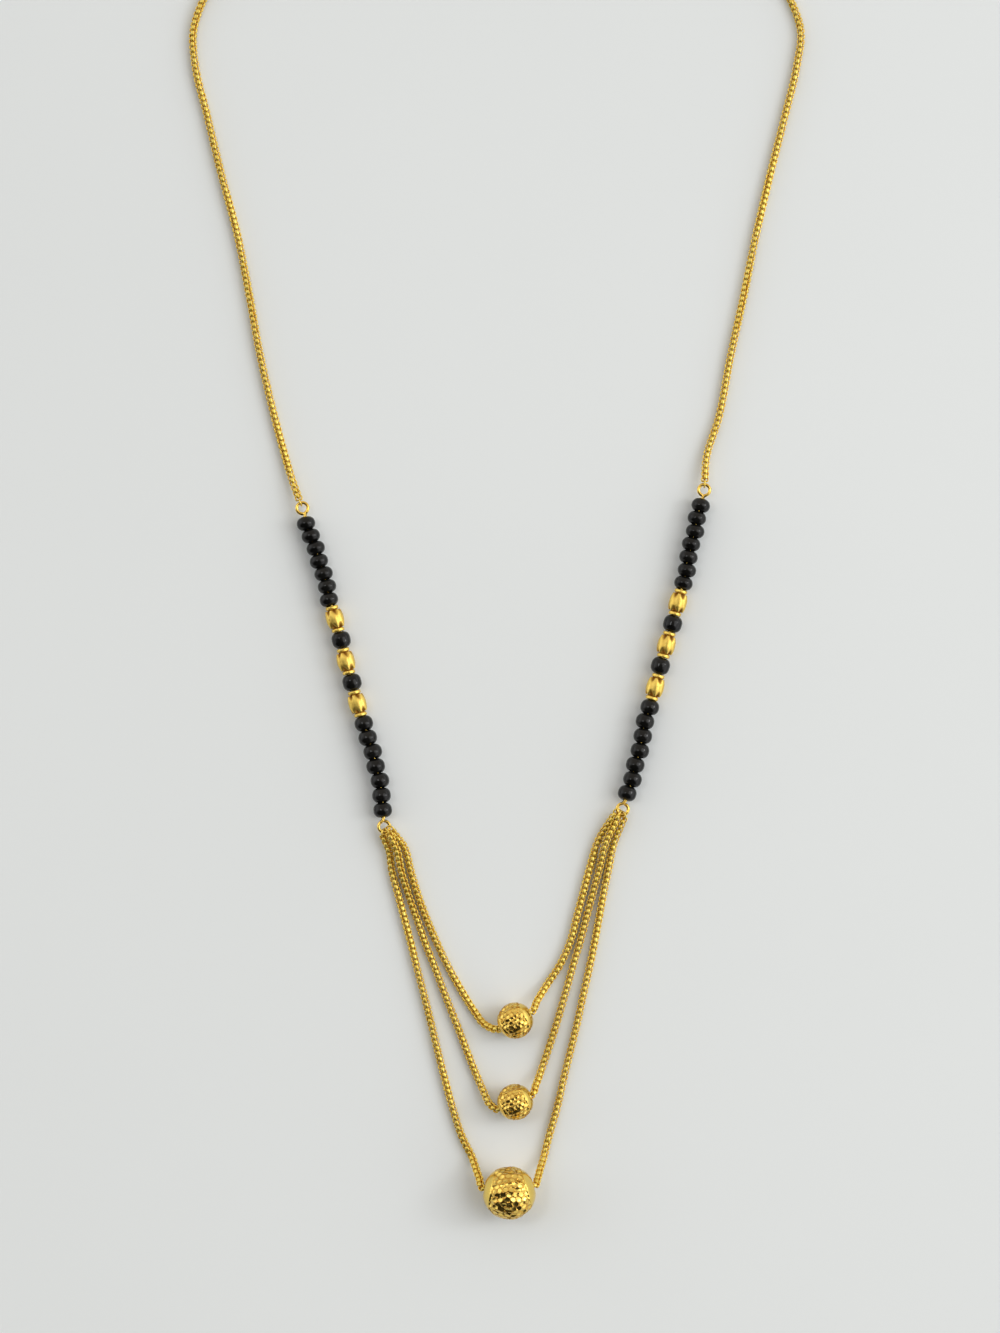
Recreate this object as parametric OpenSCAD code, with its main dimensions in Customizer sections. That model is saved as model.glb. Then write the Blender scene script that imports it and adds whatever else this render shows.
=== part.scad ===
// Mangalsutra for daily wear, lying flat in its worn shape: a box chain that
// goes round the neck, a run of black and gold beads on each side, and three
// tiers of chain in front, each threaded through a diamond-cut gold ball.
// Millimetres. X runs across the necklace, +Y points at the clasp and +Z up.
// The origin is under the middle of the necklace, on the surface it lies on.

/* [Black beads] */
// Diameter of the beads in the two close runs
bead_d = 2.9; // [2.4:0.1:3.4]
// Radius of the rounded rim at each end of a black bead
bead_round = 0.85; // [0.6:0.05:0.9]
// Length of a bead in the run next to the back chain
upper_bead_len = 1.95; // [1.6:0.05:2.4]
// Length of a bead in the run next to the tiers
lower_bead_len = 2.2; // [1.8:0.05:2.6]
// Diameter of the single beads between the gold ones
single_bead_d = 3; // [2.4:0.1:3.4]
// Length of the single beads between the gold ones
single_bead_len = 2.5; // [2:0.05:2.9]
// Diameter of the hole in every bead
bead_hole_d = 1; // [0.8:0.05:1.2]

/* [Gold beads] */
// Diameter of a gold bead's barrel
gold_d = 2.9; // [2.4:0.1:3.4]
// Diameter of the barrel where it meets its collars
gold_neck_d = 2.2; // [1.8:0.1:2.3]
// Length of the barrel between its collars
barrel_len = 2.95; // [2.4:0.05:3.6]
// Diameter of the collar at each end
collar_d = 2.1; // [1.8:0.1:2.3]
// Length of the collar at each end
collar_len = 0.6; // [0.4:0.05:0.8]

/* [Bead wire] */
// Diameter of the wire that carries each side's beads
wire_d = 0.45; // [0.35:0.05:0.55]
// Outer diameter of the eye bent at each end of the wire
eye_d = 2.3; // [2.1:0.1:2.8]
// Length of straight wire between an eye and the nearest bead
stem_len = 0.4; // [0.3:0.05:0.8]

/* [Chain] */
// Width of the chain
chain_d = 1.25; // [1:0.05:1.35]
// Wire of the end ring soldered to a chain where it meets an eye
end_ring_wire_d = 0.26; // [0.2:0.02:0.3]
// Distance from the middle of an eye to the far side of a chain's end ring
end_ring_reach = 1.6; // [1.5:0.05:1.9]
// How much further each way the middle tier's end ring reaches
middle_ring_extra = 0.35; // [0.3:0.05:0.4]
// Angle between neighbouring chains where they leave a lower eye
tier_fan = 35; // [33:1:45]

/* [Balls] */
// Diameter of the balls on the top and middle tiers
small_ball_d = 5.8; // [5:0.1:6.6]
// Diameter of the ball on the bottom tier
big_ball_d = 8.5; // [7.5:0.1:9.5]
// Diameter of the hole through every ball
ball_hole_d = 2; // [1.9:0.1:2.4]
// Diameter of the countersink at the ends of each hole
ball_mouth_d = 2.8; // [2.6:0.1:3.2]
// Distance of the big ball's hole above its middle, so that it hangs low
big_hole_lift = 1; // [0:0.1:1.4]
// Width of one diamond cut on a small ball
small_cut = 0.6; // [0.5:0.05:0.8]
// Width of one diamond cut on the big ball
big_cut = 1; // [0.9:0.05:1.2]
// Depth of the diamond cuts
cut_depth = 0.1; // [0.05:0.01:0.15]
// Angle of the smooth cap round each end of a hole
cap_angle = 48; // [40:1:60]

/* [Clasp] */
// Wire of the S-shaped hook behind the neck
hook_wire_d = 0.9; // [0.7:0.05:1.1]
// Outer diameter of each of the hook's two loops
hook_loop_d = 4.1; // [3.8:0.1:4.8]
// Wire of the ring at the clasp end of each back chain
hook_ring_wire_d = 0.5; // [0.4:0.05:0.6]
// Outer diameter of the ring at the clasp end of each back chain
hook_ring_d = 2.6; // [2.5:0.1:3.2]

/* [Fit] */
// Clear space between two pieces
gap = 0.11; // [0.08:0.01:0.12]
// Clear length between two beads on their wire
bead_gap = 0.17; // [0.1:0.01:0.3]

/* [Hidden] */
$fn = 48;

// Colours as the eye sees them
gold_tint = "#d8a43c";
pale_gold_tint = "#e6bd5c";
black_tint = "#1b1a1d";

// Chosen places on the surface, all in the [x, y] of the frame
bead_route_left = [
    [-31.1, 3.9], [-29.8, -0.6], [-28.2, -5], [-26.8, -10.4], [-25, -17],
    [-23.2, -23.9], [-21.3, -30.6], [-19.6, -36.2], [-18.4, -42], [-18, -47.4]
];
bead_route_right = [
    [33.1, 6.8], [31.9, 1.8], [30.8, -3.2], [29.7, -8.3], [28, -14.6],
    [26.2, -21.2], [24.3, -28], [22.9, -34], [21.7, -39], [20.2, -43.8]
];
back_route_left = [
    [-32.8, 8.6], [-34.4, 14], [-36.2, 21], [-38, 29], [-39.6, 38], [-41.5, 47.5],
    [-44, 57], [-46.3, 66.5], [-48.3, 75], [-48.56, 80], [-46.9, 85.3], [-43.2, 91.2],
    [-38, 96.2], [-31, 100.8], [-22.6, 104.4], [-13.6, 106.7]
];
back_route_right = [
    [33.4, 11.6], [35.4, 18.2], [37.3, 28], [39.5, 38], [41.4, 47.5], [43.6, 57],
    [46, 66.5], [48, 75], [48.6, 80], [46.9, 85.3], [43.2, 91.2],
    [38, 96.2], [31, 100.8], [22.6, 104.4], [13.6, 106.7]
];
top_route_left = [
    [-14.8, -50.3], [-13.8, -54], [-12.6, -58], [-11.2, -61.8], [-9.6, -65.6],
    [-7.7, -69.6], [-5.6, -73.4], [-3.6, -76.6], [-2, -78.6]
];
top_route_right = [
    [6.4, -74.8], [8.1, -72.1], [10, -69.2], [11.7, -65.4], [12.7, -61.6], [13.7, -57.8],
    [14.7, -54], [16.2, -49.2]
];
middle_route_left = [
    [-16, -50.6], [-15.3, -54], [-14.1, -58], [-12.8, -61.8], [-11.5, -65.6], [-9.9, -69.6],
    [-8.5, -73.4], [-6.3, -79], [-4.7, -83.2], [-3.1, -87.2], [-2.1, -89.4], [-1.2, -91.2]
];
middle_route_right = [
    [6.2, -88.2], [7.2, -85.6], [8.3, -82.4], [9.4, -79], [11, -73.4], [12.1, -69.4],
    [13.3, -65.4], [14.3, -61.6], [15.3, -57.8], [16.3, -54], [17.4, -49.4]
];
bottom_route_left = [
    [-17.2, -50.9], [-16.8, -54], [-15.8, -58], [-14.8, -61.8], [-13.8, -65.6], [-12.8, -69.6],
    [-11.8, -73.4], [-10.4, -79], [-9.4, -83.2], [-8.4, -87.2], [-7.1, -92], [-5.4, -97],
    [-4, -99.8], [-3.35, -101.6], [-2.8, -103.1]
];
bottom_route_right = [
    [6.5, -103], [6.95, -101.5], [7.5, -99.8], [8.2, -97], [9.6, -92], [10.9, -86.3],
    [11.8, -82.7], [12.7, -79], [13.9, -73.4], [14.8, -69.4], [15.6, -65.4], [16.3, -61.6],
    [17, -57.8], [17.8, -54], [18.7, -49.7]
];
top_ball_at = [2.9, -77.9];
middle_ball_at = [2.9, -90.9];
bottom_ball_at = [1.9, -105.3];
clasp_at = [0, 107.5];

// How each ball's hole lies: its heading, and the rise of its right end
top_hole_turn = [28, 8];
middle_hole_turn = [24, 6];
bottom_hole_turn = [3, 0];

// The beads of one side from the back chain down: u, l, s and g stand for an
// upper, lower, single or gold bead
bead_order = ["u", "u", "u", "u", "u", "u", "u", "g", "s", "g", "s", "g",
              "l", "l", "l", "l", "l", "l", "l"];

// Sideways place of each bead as a share of its play on the wire
left_shift = [-0.6, 0.4, 0.8, -0.6, 0.3, 0.5, -0.8, 0, 0.4, -0.3, 0.2, -0.3,
              0.3, -0.2, 0.4, -0.4, 0.6, -0.3, -0.5];
right_shift = [0.3, -0.5, 0.7, -0.5, -0.3, 0.8, 0.2, -0.3, 0.3, -0.2, -0.4, 0.3,
               0.5, -0.8, 0.3, 0.7, -0.6, 0.4, -0.5];

// How a chain leaves an eye: its place in the fan, how far round its end ring
// it starts, where 1 is the top, and how far it runs before it lies down
top_leave = [1, -0.3, 5];
middle_leave = [0, 0.6, 12];
bottom_leave = [-1, -0.3, 5];
back_leave = [0, 0, 6];

// How a tier climbs into a ball: the share of the ball's radius at which it is
// up at the hole, and how far before that it leaves the surface
small_climb = [0.7, 5];
big_climb = [0.7, 5.6];

// Places of a tier's points on the line of a hole, where 1 is at its mouth
hole_shares = [-1, -0.7, 0, 0.7, 1];

// Radius of a tube's start as a share of the chain's
start_share = 0.6;

wire_r = wire_d / 2;
chain_r = chain_d / 2;
wire_z = max(bead_d, single_bead_d, gold_d) / 2;
eye_r = (eye_d - wire_d) / 2;
play = (bead_hole_d - wire_d) / 2 - gap;
tube_sides = 8;
chain_corner = 1 / cos(180 / tube_sides);
ring_step = 2.4 * chain_d;
string_step = 0.1;
hook_r = (hook_loop_d - hook_wire_d) / 2;
hook_reach = hook_r * sqrt(2);
hook_slack = (hook_ring_d / 2 - hook_ring_wire_d - hook_wire_d / 2 - gap) / sqrt(2);
hook_ring_z = hook_ring_d / 2;
hook_z = hook_ring_z - hook_slack;
hook_ring_near = hook_r + hook_slack - (hook_ring_d - hook_ring_wire_d) / 2;
hook_ring_far = hook_ring_near + hook_ring_d - hook_ring_wire_d;
end_ring_near = eye_r - wire_r - gap - end_ring_wire_d / 2;

function two(i) = i < 10 ? str("0", i) : str(i);
function last(v) = v[len(v) - 1];
function unit(v) = v / norm(v);
function heading(v) = atan2(v[1], v[0]);
function toward(angle, rise = 0) = [cos(angle) * cos(rise), sin(angle) * cos(rise), sin(rise)];
function ease(t) = let(c = max(0, min(1, t))) c * c * (3 - 2 * c);
function raised(p, z) = [p[0], p[1], z];
function reversed(v) = [for (i = [len(v) - 1:-1:0]) v[i]];
function total(v, n) = n <= 0 ? 0 : v[n - 1] + total(v, n - 1);

// Direction of a smooth curve through the points p at point i
function slope(p, i) =
    i == 0 ? unit(p[1] - p[0]) :
    i == len(p) - 1 ? unit(p[i] - p[i - 1]) :
    let(a = p[i] - p[i - 1], b = p[i + 1] - p[i], la = norm(a), lb = norm(b))
    (a / la * lb + b / lb * la) / (la + lb);

// Point of the curve at share t between points i and i + 1
function between(p, i, t) =
    let(d = norm(p[i + 1] - p[i]), t2 = t * t, t3 = t2 * t)
    (2 * t3 - 3 * t2 + 1) * p[i] + (t3 - 2 * t2 + t) * d * slope(p, i) +
    (3 * t2 - 2 * t3) * p[i + 1] + (t3 - t2) * d * slope(p, i + 1);

// The line p with no point lower than the surface lets a chain lie
function laid(p) = [for (q = p) raised(q, max(chain_r, q[2]))];

// The curve through the points p as short steps
function smooth(p, step) = concat(
    [for (i = [0:len(p) - 2])
        let(n = max(1, round(norm(p[i + 1] - p[i]) / step)))
        for (k = [0:n - 1]) between(p, i, k / n)],
    [last(p)]
);

// Distance from the start of the line p to each of its points
function mileage(p) = [for (i = 0, s = 0; i < len(p);
    s = s + (i + 1 < len(p) ? norm(p[i + 1] - p[i]) : 0), i = i + 1) s];

// Point and heading of the line p at a distance from its start
function step_of(miles, s) = max(0, min(len(miles) - 2, len([for (m = miles) if (m <= s) m]) - 1));
function point_at(p, miles, s) =
    let(i = step_of(miles, s), t = (s - miles[i]) / (miles[i + 1] - miles[i]))
    p[i] + (p[i + 1] - p[i]) * t;
function heading_at(p, miles, s) =
    heading(point_at(p, miles, s + wire_d) - point_at(p, miles, s - wire_d));

// Lengths of the beads of one side and the distance of each from the upper eye
gold_len = barrel_len + 2 * collar_len;
bead_lens = [for (b = bead_order)
    b == "u" ? upper_bead_len : b == "l" ? lower_bead_len : b == "s" ? single_bead_len : gold_len];
eye_to_bead = eye_r + wire_r + stem_len;
bead_miles = [for (i = [0:len(bead_lens) - 1])
    eye_to_bead + total(bead_lens, i) + i * bead_gap + bead_lens[i] / 2];
string_len = last(bead_miles) + last(bead_lens) / 2 + eye_to_bead;

left_string = smooth(bead_route_left, string_step);
right_string = smooth(bead_route_right, string_step);
left_miles = mileage(left_string);
right_miles = mileage(right_string);
upper_eye_left = bead_route_left[0];
upper_eye_right = bead_route_right[0];
lower_eye_left = point_at(left_string, left_miles, string_len);
lower_eye_right = point_at(right_string, right_miles, string_len);
lower_turn_left = heading(middle_route_left[0] - lower_eye_left);
lower_turn_right = heading(last(middle_route_right) - lower_eye_right);

// Extra height of a chain at the point p near a place: all of it within clear
// of the place, and none beyond a further run
function climb(p, place, height, clear, run) =
    (height - chain_r) * (1 - ease((norm([p[0], p[1]] - place) - clear) / run));

// One ring of a tube: a circle about p, square to the direction t
function tube_ring(p, t, r, up, sides) =
    let(side = unit(cross(t, up)), rise = cross(side, t))
    [for (k = [0:sides - 1])
        let(a = (k + 0.5) * 360 / sides) p + r * (cos(a) * side + sin(a) * rise)];

// A round bar of radius r along the points p, with a narrower start and end
module tube(p, r, start_r, end_r, sides = tube_sides, up = [0, 0, 1]) {
    n = len(p);
    rings = [for (i = [0:n - 1])
        let(t = unit(p[min(n - 1, i + 1)] - p[max(0, i - 1)]))
        tube_ring(p[i], t, i == 0 ? start_r : i == n - 1 ? end_r : r, up, sides)];
    quads = [for (i = [0:n - 2], k = [0:sides - 1])
        let(a = i * sides + k, b = i * sides + (k + 1) % sides)
        for (face = [[a, b + sides, a + sides], [a, b, b + sides]]) face];
    caps = [[for (k = [sides - 1:-1:0]) k],
            [for (k = [0:sides - 1]) (n - 1) * sides + k]];
    polyhedron([for (ring = rings, q = ring) q], concat(quads, caps));
}

// A ring of wire that stands upright along a heading, from its near edge's wire
// to its far edge's wire, measured from the middle of the eye it hangs in
module upright_ring(eye, turn, near, far, z, ring_wire_d) {
    translate(raised(eye, z))
        rotate([0, 0, turn])
            translate([(near + far) / 2, 0, 0])
                rotate([90, 0, 0])
                    rotate_extrude()
                        translate([(far - near) / 2, 0])
                            circle(d = ring_wire_d, $fn = 24);
}

// Where a chain starts on its upright ring: share is 0 at the ring's far edge
// and 1 a right angle further up
function ring_start(eye, turn, near, far, z, share) =
    raised(eye, z) + toward(turn) * (near + far) / 2 +
    (far - near) / 2 * (toward(turn) * cos(90 * share) + [0, 0, sin(90 * share)]);

// Near and far wire of a tier's end ring
function tier_ring(leave) =
    let(extra = leave[0] == 0 ? middle_ring_extra : 0)
    [end_ring_near - extra, end_ring_reach + extra];

// Heading of a tier at the left and the right eye
function tier_turns(leave) =
    [lower_turn_left + leave[0] * tier_fan, lower_turn_right - leave[0] * tier_fan];

// The points of a tier: from the left eye through its ball to the right eye
function tier_points(left, right, ball, ball_d, turn, lift, leave, rise) =
    let(
        ring = tier_ring(leave),
        turns = tier_turns(leave),
        start = ring_start(lower_eye_left, turns[0], ring[0], ring[1], wire_z, leave[1]),
        end = ring_start(lower_eye_right, turns[1], ring[0], ring[1], wire_z, leave[1]),
        axis = toward(turn[0], turn[1]),
        middle = raised(ball, ball_d / 2) + lift * [-sin(turn[0]), cos(turn[0]), 0],
        reach = sqrt(ball_d * ball_d / 4 - lift * lift),
        mouths = [middle - axis * reach, middle + axis * reach],
        low = [for (p = left) raised(p, chain_r
            + climb(p, lower_eye_left, start[2], end_ring_reach, leave[2])
            + climb(p, ball, mouths[0][2], ball_d / 2 * rise[0], rise[1]))],
        high = [for (p = right) raised(p, chain_r
            + climb(p, lower_eye_right, end[2], end_ring_reach, leave[2])
            + climb(p, ball, mouths[1][2], ball_d / 2 * rise[0], rise[1]))]
    )
    concat([start], low, [for (share = hole_shares) middle + share * reach * axis], high, [end]);

module tier(left, right, ball, ball_d, turn, lift, leave, rise) {
    points = tier_points(left, right, ball, ball_d, turn, lift, leave, rise);
    ring = tier_ring(leave);
    turns = tier_turns(leave);
    color(gold_tint) {
        tube(laid(smooth(points, ring_step)), chain_r * chain_corner,
            chain_r * start_share, chain_r * start_share);
        upright_ring(lower_eye_left, turns[0], ring[0], ring[1], wire_z, end_ring_wire_d);
        upright_ring(lower_eye_right, turns[1], ring[0], ring[1], wire_z, end_ring_wire_d);
    }
}

module tier_chain_top() {
    tier(top_route_left, top_route_right, top_ball_at, small_ball_d, top_hole_turn, 0,
        top_leave, small_climb);
}

module tier_chain_middle() {
    tier(middle_route_left, middle_route_right, middle_ball_at, small_ball_d,
        middle_hole_turn, 0, middle_leave, small_climb);
}

module tier_chain_bottom() {
    tier(bottom_route_left, bottom_route_right, bottom_ball_at, big_ball_d,
        bottom_hole_turn, big_hole_lift, bottom_leave, big_climb);
}

// Half of the back chain: from a side's upper eye to the clasp
module back_chain(eye, route, hand) {
    hook_eye = clasp_at + [hand * hook_reach, 0];
    eye_turn = heading(route[0] - eye);
    hook_turn = heading(last(route) - hook_eye);
    start = ring_start(eye, eye_turn, end_ring_near, end_ring_reach, wire_z, back_leave[1]);
    end = ring_start(hook_eye, hook_turn, hook_ring_near, hook_ring_far, hook_ring_z, 0);
    lying = [for (p = route) raised(p, chain_r
        + climb(p, eye, wire_z, end_ring_reach, back_leave[2])
        + climb(p, hook_eye, hook_ring_z, hook_ring_far, back_leave[2]))];
    color(gold_tint) {
        tube(laid(smooth(concat([start], lying, [end]), ring_step)), chain_r * chain_corner,
            chain_r * start_share, chain_r * chain_corner);
        upright_ring(eye, eye_turn, end_ring_near, end_ring_reach, wire_z, end_ring_wire_d);
        upright_ring(hook_eye, hook_turn, hook_ring_near, hook_ring_far, hook_ring_z,
            hook_ring_wire_d);
    }
}

module back_chain_left() {
    back_chain(upper_eye_left, back_route_left, -1);
}

module back_chain_right() {
    back_chain(upper_eye_right, back_route_right, 1);
}

// The S hook: two open loops joined by a slanting bar
module clasp() {
    steps = 14;
    sides = 10;
    tip = -30;
    sweep = -285;
    left_loop = [for (i = [0:steps])
        let(a = tip + sweep * i / steps) [-hook_reach + hook_r * cos(a), hook_r * sin(a)]];
    right_loop = [for (p = reversed(left_loop)) -p];
    points = [for (p = concat(left_loop, right_loop)) raised(clasp_at + p, hook_z)];
    color(pale_gold_tint)
        tube(points, hook_wire_d / 2, hook_wire_d / 2, hook_wire_d / 2, sides);
}

// The loop bent at the end of a bead wire, from its stem round to its tip
function eye_points(eye, turn) =
    let(from = -70, sweep = 305, steps = 14)
    [for (i = [0:steps])
        let(a = turn + from + sweep * i / steps)
        raised(eye + eye_r * [cos(a), sin(a)], wire_z)];

// A side's bead wire: one eye, the straight stem through the beads, the other
module bead_wire(string, miles) {
    stem_start = eye_r + wire_d;
    stem_end = string_len - stem_start;
    stem_steps = 22;
    upper = string[0];
    lower = point_at(string, miles, string_len);
    upper_turn = heading_at(string, miles, wire_d);
    lower_turn = heading_at(string, miles, string_len - wire_d);
    stem = [for (i = [0:stem_steps])
        raised(point_at(string, miles, stem_start + (stem_end - stem_start) * i / stem_steps),
            wire_z)];
    color(pale_gold_tint)
        tube(concat(reversed(eye_points(upper, upper_turn + 90)), stem,
            eye_points(lower, lower_turn - 90)), wire_r, wire_r, wire_r);
}

module bead_wire_left() {
    bead_wire(left_string, left_miles);
}

module bead_wire_right() {
    bead_wire(right_string, right_miles);
}

// Half section of a turned bead: sides that bulge to d from faces of face_d
module bulge(d, face_d, length) {
    rise = (d - face_d) / 2;
    r = (rise * rise + length * length / 4) / (2 * rise);
    intersection() {
        translate([d / 2 - r, 0])
            circle(r = r);
        translate([0, -length / 2])
            square([d, length]);
    }
}

// Turns half sections into a bead that lies along X, with its hole through it
module drilled() {
    bore_len = 2 * gold_len;
    rotate([0, 90, 0])
        rotate_extrude()
            difference() {
                children();
                translate([-bead_d, -bore_len / 2])
                    square([bead_d + bead_hole_d / 2, bore_len]);
            }
}

// Half section of a bead with straight sides and rims rounded to radius r
module round_rims(d, length, r) {
    for (end = [-1, 1])
        translate([d / 2 - r, end * (length / 2 - r)])
            circle(r = r);
    translate([0, r - length / 2])
        square([d / 2, length - 2 * r]);
    translate([0, -length / 2])
        square([d / 2 - r, length]);
}

module black_bead(kind) {
    color(black_tint)
        drilled()
            round_rims(kind == "s" ? single_bead_d : bead_d,
                kind == "u" ? upper_bead_len : kind == "l" ? lower_bead_len : single_bead_len,
                bead_round);
}

module gold_bead() {
    color(pale_gold_tint)
        drilled() {
            bulge(gold_d, gold_neck_d, barrel_len);
            for (end = [-1, 1])
                translate([0, end * (barrel_len + collar_len) / 2])
                    bulge(collar_d, collar_d - collar_len / 2, collar_len);
        }
}

// Puts a bead on its side's string, slid sideways by its share of the play
module on_string(side, i) {
    string = side == "left" ? left_string : right_string;
    miles = side == "left" ? left_miles : right_miles;
    shift = (side == "left" ? left_shift : right_shift)[i] * play;
    place = point_at(string, miles, bead_miles[i]);
    turn = heading_at(string, miles, bead_miles[i]);
    translate(raised(place, wire_z))
        rotate([0, 0, turn])
            translate([0, shift, 0])
                children();
}

// Places in bead_order of the black and of the gold beads
black_places = [for (i = [0:len(bead_order) - 1]) if (bead_order[i] != "g") i];
gold_places = [for (i = [0:len(bead_order) - 1]) if (bead_order[i] == "g") i];

// Point on a ball of radius r, at an angle from its hole and round the hole
function on_ball(r, from_hole, round_hole) =
    r * [cos(from_hole), sin(from_hole) * cos(round_hole), sin(from_hole) * sin(round_hole)];

// A ball with rows of four-sided hollow cuts between two smooth caps
module cut_ball(d, cut) {
    r = d / 2;
    around = round(PI * d / cut);
    rows = 2 * round(PI * d * (180 - 2 * cap_angle) / 360 / cut);
    row_turn = (180 - 2 * cap_angle) / rows;
    turn = 360 / around;
    cap_rings = 3;
    corners = [for (i = [0:rows], j = [0:around - 1])
        on_ball(r, cap_angle + i * row_turn, (j + (i % 2) / 2) * turn)];
    hollows = [for (i = [1:rows - 1], j = [0:around - 1])
        on_ball(r - cut_depth, cap_angle + i * row_turn, (j + (i % 2) / 2 + 0.5) * turn)];
    caps = [for (end = [0, 180], k = [1:cap_rings - 1], j = [0:around - 1])
        on_ball(r, abs(end - cap_angle * k / cap_rings), j * turn)];
    poles = [on_ball(r, 0, 0), on_ball(r, 180, 0)];
    first_hollow = len(corners);
    first_cap = first_hollow + len(hollows);
    first_pole = first_cap + len(caps);
    cap_len = (cap_rings - 1) * around;
    cells = [for (i = [1:rows - 1], j = [0:around - 1])
        let(
            c = first_hollow + (i - 1) * around + j,
            left = i * around + j,
            right = i * around + (j + 1) % around,
            across = (j + i % 2) % around,
            above = (i - 1) * around + across,
            below = (i + 1) * around + across
        )
        for (face = [[c, left, above], [c, above, right], [c, right, below], [c, below, left]])
            face];
    edges = [for (j = [0:around - 1])
        let(k = (j + 1) % around, base = rows * around)
        for (face = [[j, k, around + j], [base + k, base + j, base - around + j]]) face];
    cap_faces = [for (end = [0, 1], k = [1:cap_rings], j = [0:around - 1])
        let(
            next = (j + 1) % around,
            start = first_cap + end * cap_len + (k - 2) * around,
            rim = k == cap_rings ? end * rows * around : start + around,
            quad = k == 1 ? [[first_pole + end, rim + next, rim + j]] :
                [[start + j, start + next, rim + next], [start + j, rim + next, rim + j]]
        )
        for (face = quad) end == 0 ? face : reversed(face)];
    polyhedron(concat(corners, hollows, caps, poles), concat(cells, edges, cap_faces));
}

// A ball on its tier, drilled along the tier's way through it
module ball(place, d, cut, turn, lift) {
    mouth_reach = sqrt(d * d / 4 - pow(lift + ball_mouth_d / 2, 2));
    mouth_depth = (ball_mouth_d - ball_hole_d) / 2;
    flare = 4 * mouth_depth;
    color(gold_tint)
        translate(raised(place, d / 2))
            rotate([0, -turn[1], turn[0]])
                difference() {
                    cut_ball(d, cut);
                    translate([0, lift, 0])
                        rotate([0, 90, 0])
                            cylinder(d = ball_hole_d, h = 2 * d, center = true);
                    for (end = [-1, 1])
                        translate([end * (mouth_reach - mouth_depth), lift, 0])
                            rotate([0, end * 90, 0])
                                cylinder(d1 = ball_hole_d, d2 = ball_hole_d + 2 * flare,
                                    h = flare);
                }
}

module ball_top() {
    ball(top_ball_at, small_ball_d, small_cut, top_hole_turn, 0);
}

module ball_middle() {
    ball(middle_ball_at, small_ball_d, small_cut, middle_hole_turn, 0);
}

module ball_bottom() {
    ball(bottom_ball_at, big_ball_d, big_cut, bottom_hole_turn, big_hole_lift);
}

back_chain_left();
back_chain_right();
clasp();
tier_chain_top();
tier_chain_middle();
tier_chain_bottom();
ball_top();
ball_middle();
ball_bottom();
bead_wire_left();
bead_wire_right();
for (side = ["left", "right"], i = [0:len(black_places) - 1])
    on_string(side, black_places[i]) black_bead(bead_order[black_places[i]]);
for (side = ["left", "right"], i = [0:len(gold_places) - 1])
    on_string(side, gold_places[i]) gold_bead();
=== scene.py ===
"""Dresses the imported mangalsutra: box chain link by link, cut gold balls, gold and glass beads.

Lengths in the classes below are millimetres, as the part is drawn, and Shape.piece turns them into
metres when it makes a mesh. X runs across the necklace, +Y points at the clasp and +Z is up.
"""

import sys
import logging
import math
from collections.abc import Iterable, Sequence
from dataclasses import dataclass, field
from enum import Enum
from typing import ClassVar

import bpy
import numpy as np
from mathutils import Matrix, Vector


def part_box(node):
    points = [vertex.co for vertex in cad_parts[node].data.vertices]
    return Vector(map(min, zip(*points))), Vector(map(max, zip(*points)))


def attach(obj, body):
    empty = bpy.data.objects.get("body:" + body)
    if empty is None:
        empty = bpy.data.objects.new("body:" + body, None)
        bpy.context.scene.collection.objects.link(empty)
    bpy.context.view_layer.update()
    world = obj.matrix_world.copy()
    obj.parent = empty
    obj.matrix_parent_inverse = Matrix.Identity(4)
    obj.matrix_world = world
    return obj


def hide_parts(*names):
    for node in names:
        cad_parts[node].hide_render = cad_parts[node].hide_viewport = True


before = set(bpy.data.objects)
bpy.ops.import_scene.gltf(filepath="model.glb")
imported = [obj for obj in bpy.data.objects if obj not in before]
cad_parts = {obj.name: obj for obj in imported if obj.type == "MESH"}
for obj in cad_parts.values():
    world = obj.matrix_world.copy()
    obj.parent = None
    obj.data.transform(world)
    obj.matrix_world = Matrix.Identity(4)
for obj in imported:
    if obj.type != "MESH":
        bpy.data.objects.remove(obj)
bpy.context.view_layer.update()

log = logging.getLogger("mangalsutra")

MM = 0.001
UP = np.array([0.0, 0.0, 1.0])
BODY = "root"

Colour = tuple[float, float, float, float]
Place = tuple[float, float]
Mask = tuple[np.ndarray, float, float]
Material = bpy.types.Material
Socket = bpy.types.NodeSocket


class Hand(Enum):
    """A side of the necklace as seen from above, with the way that it lies along X."""

    LEFT = -1
    RIGHT = 1

    @property
    def word(self) -> str:
        """The side's name as the nodes have it."""
        return self.name.lower()


class BeadKind(Enum):
    """A kind of bead on the wire, and its length."""

    UPPER = 1.95
    LOWER = 2.2
    SINGLE = 2.5
    GOLD = 4.15


Route = dict[Hand, list[Place]]

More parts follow.
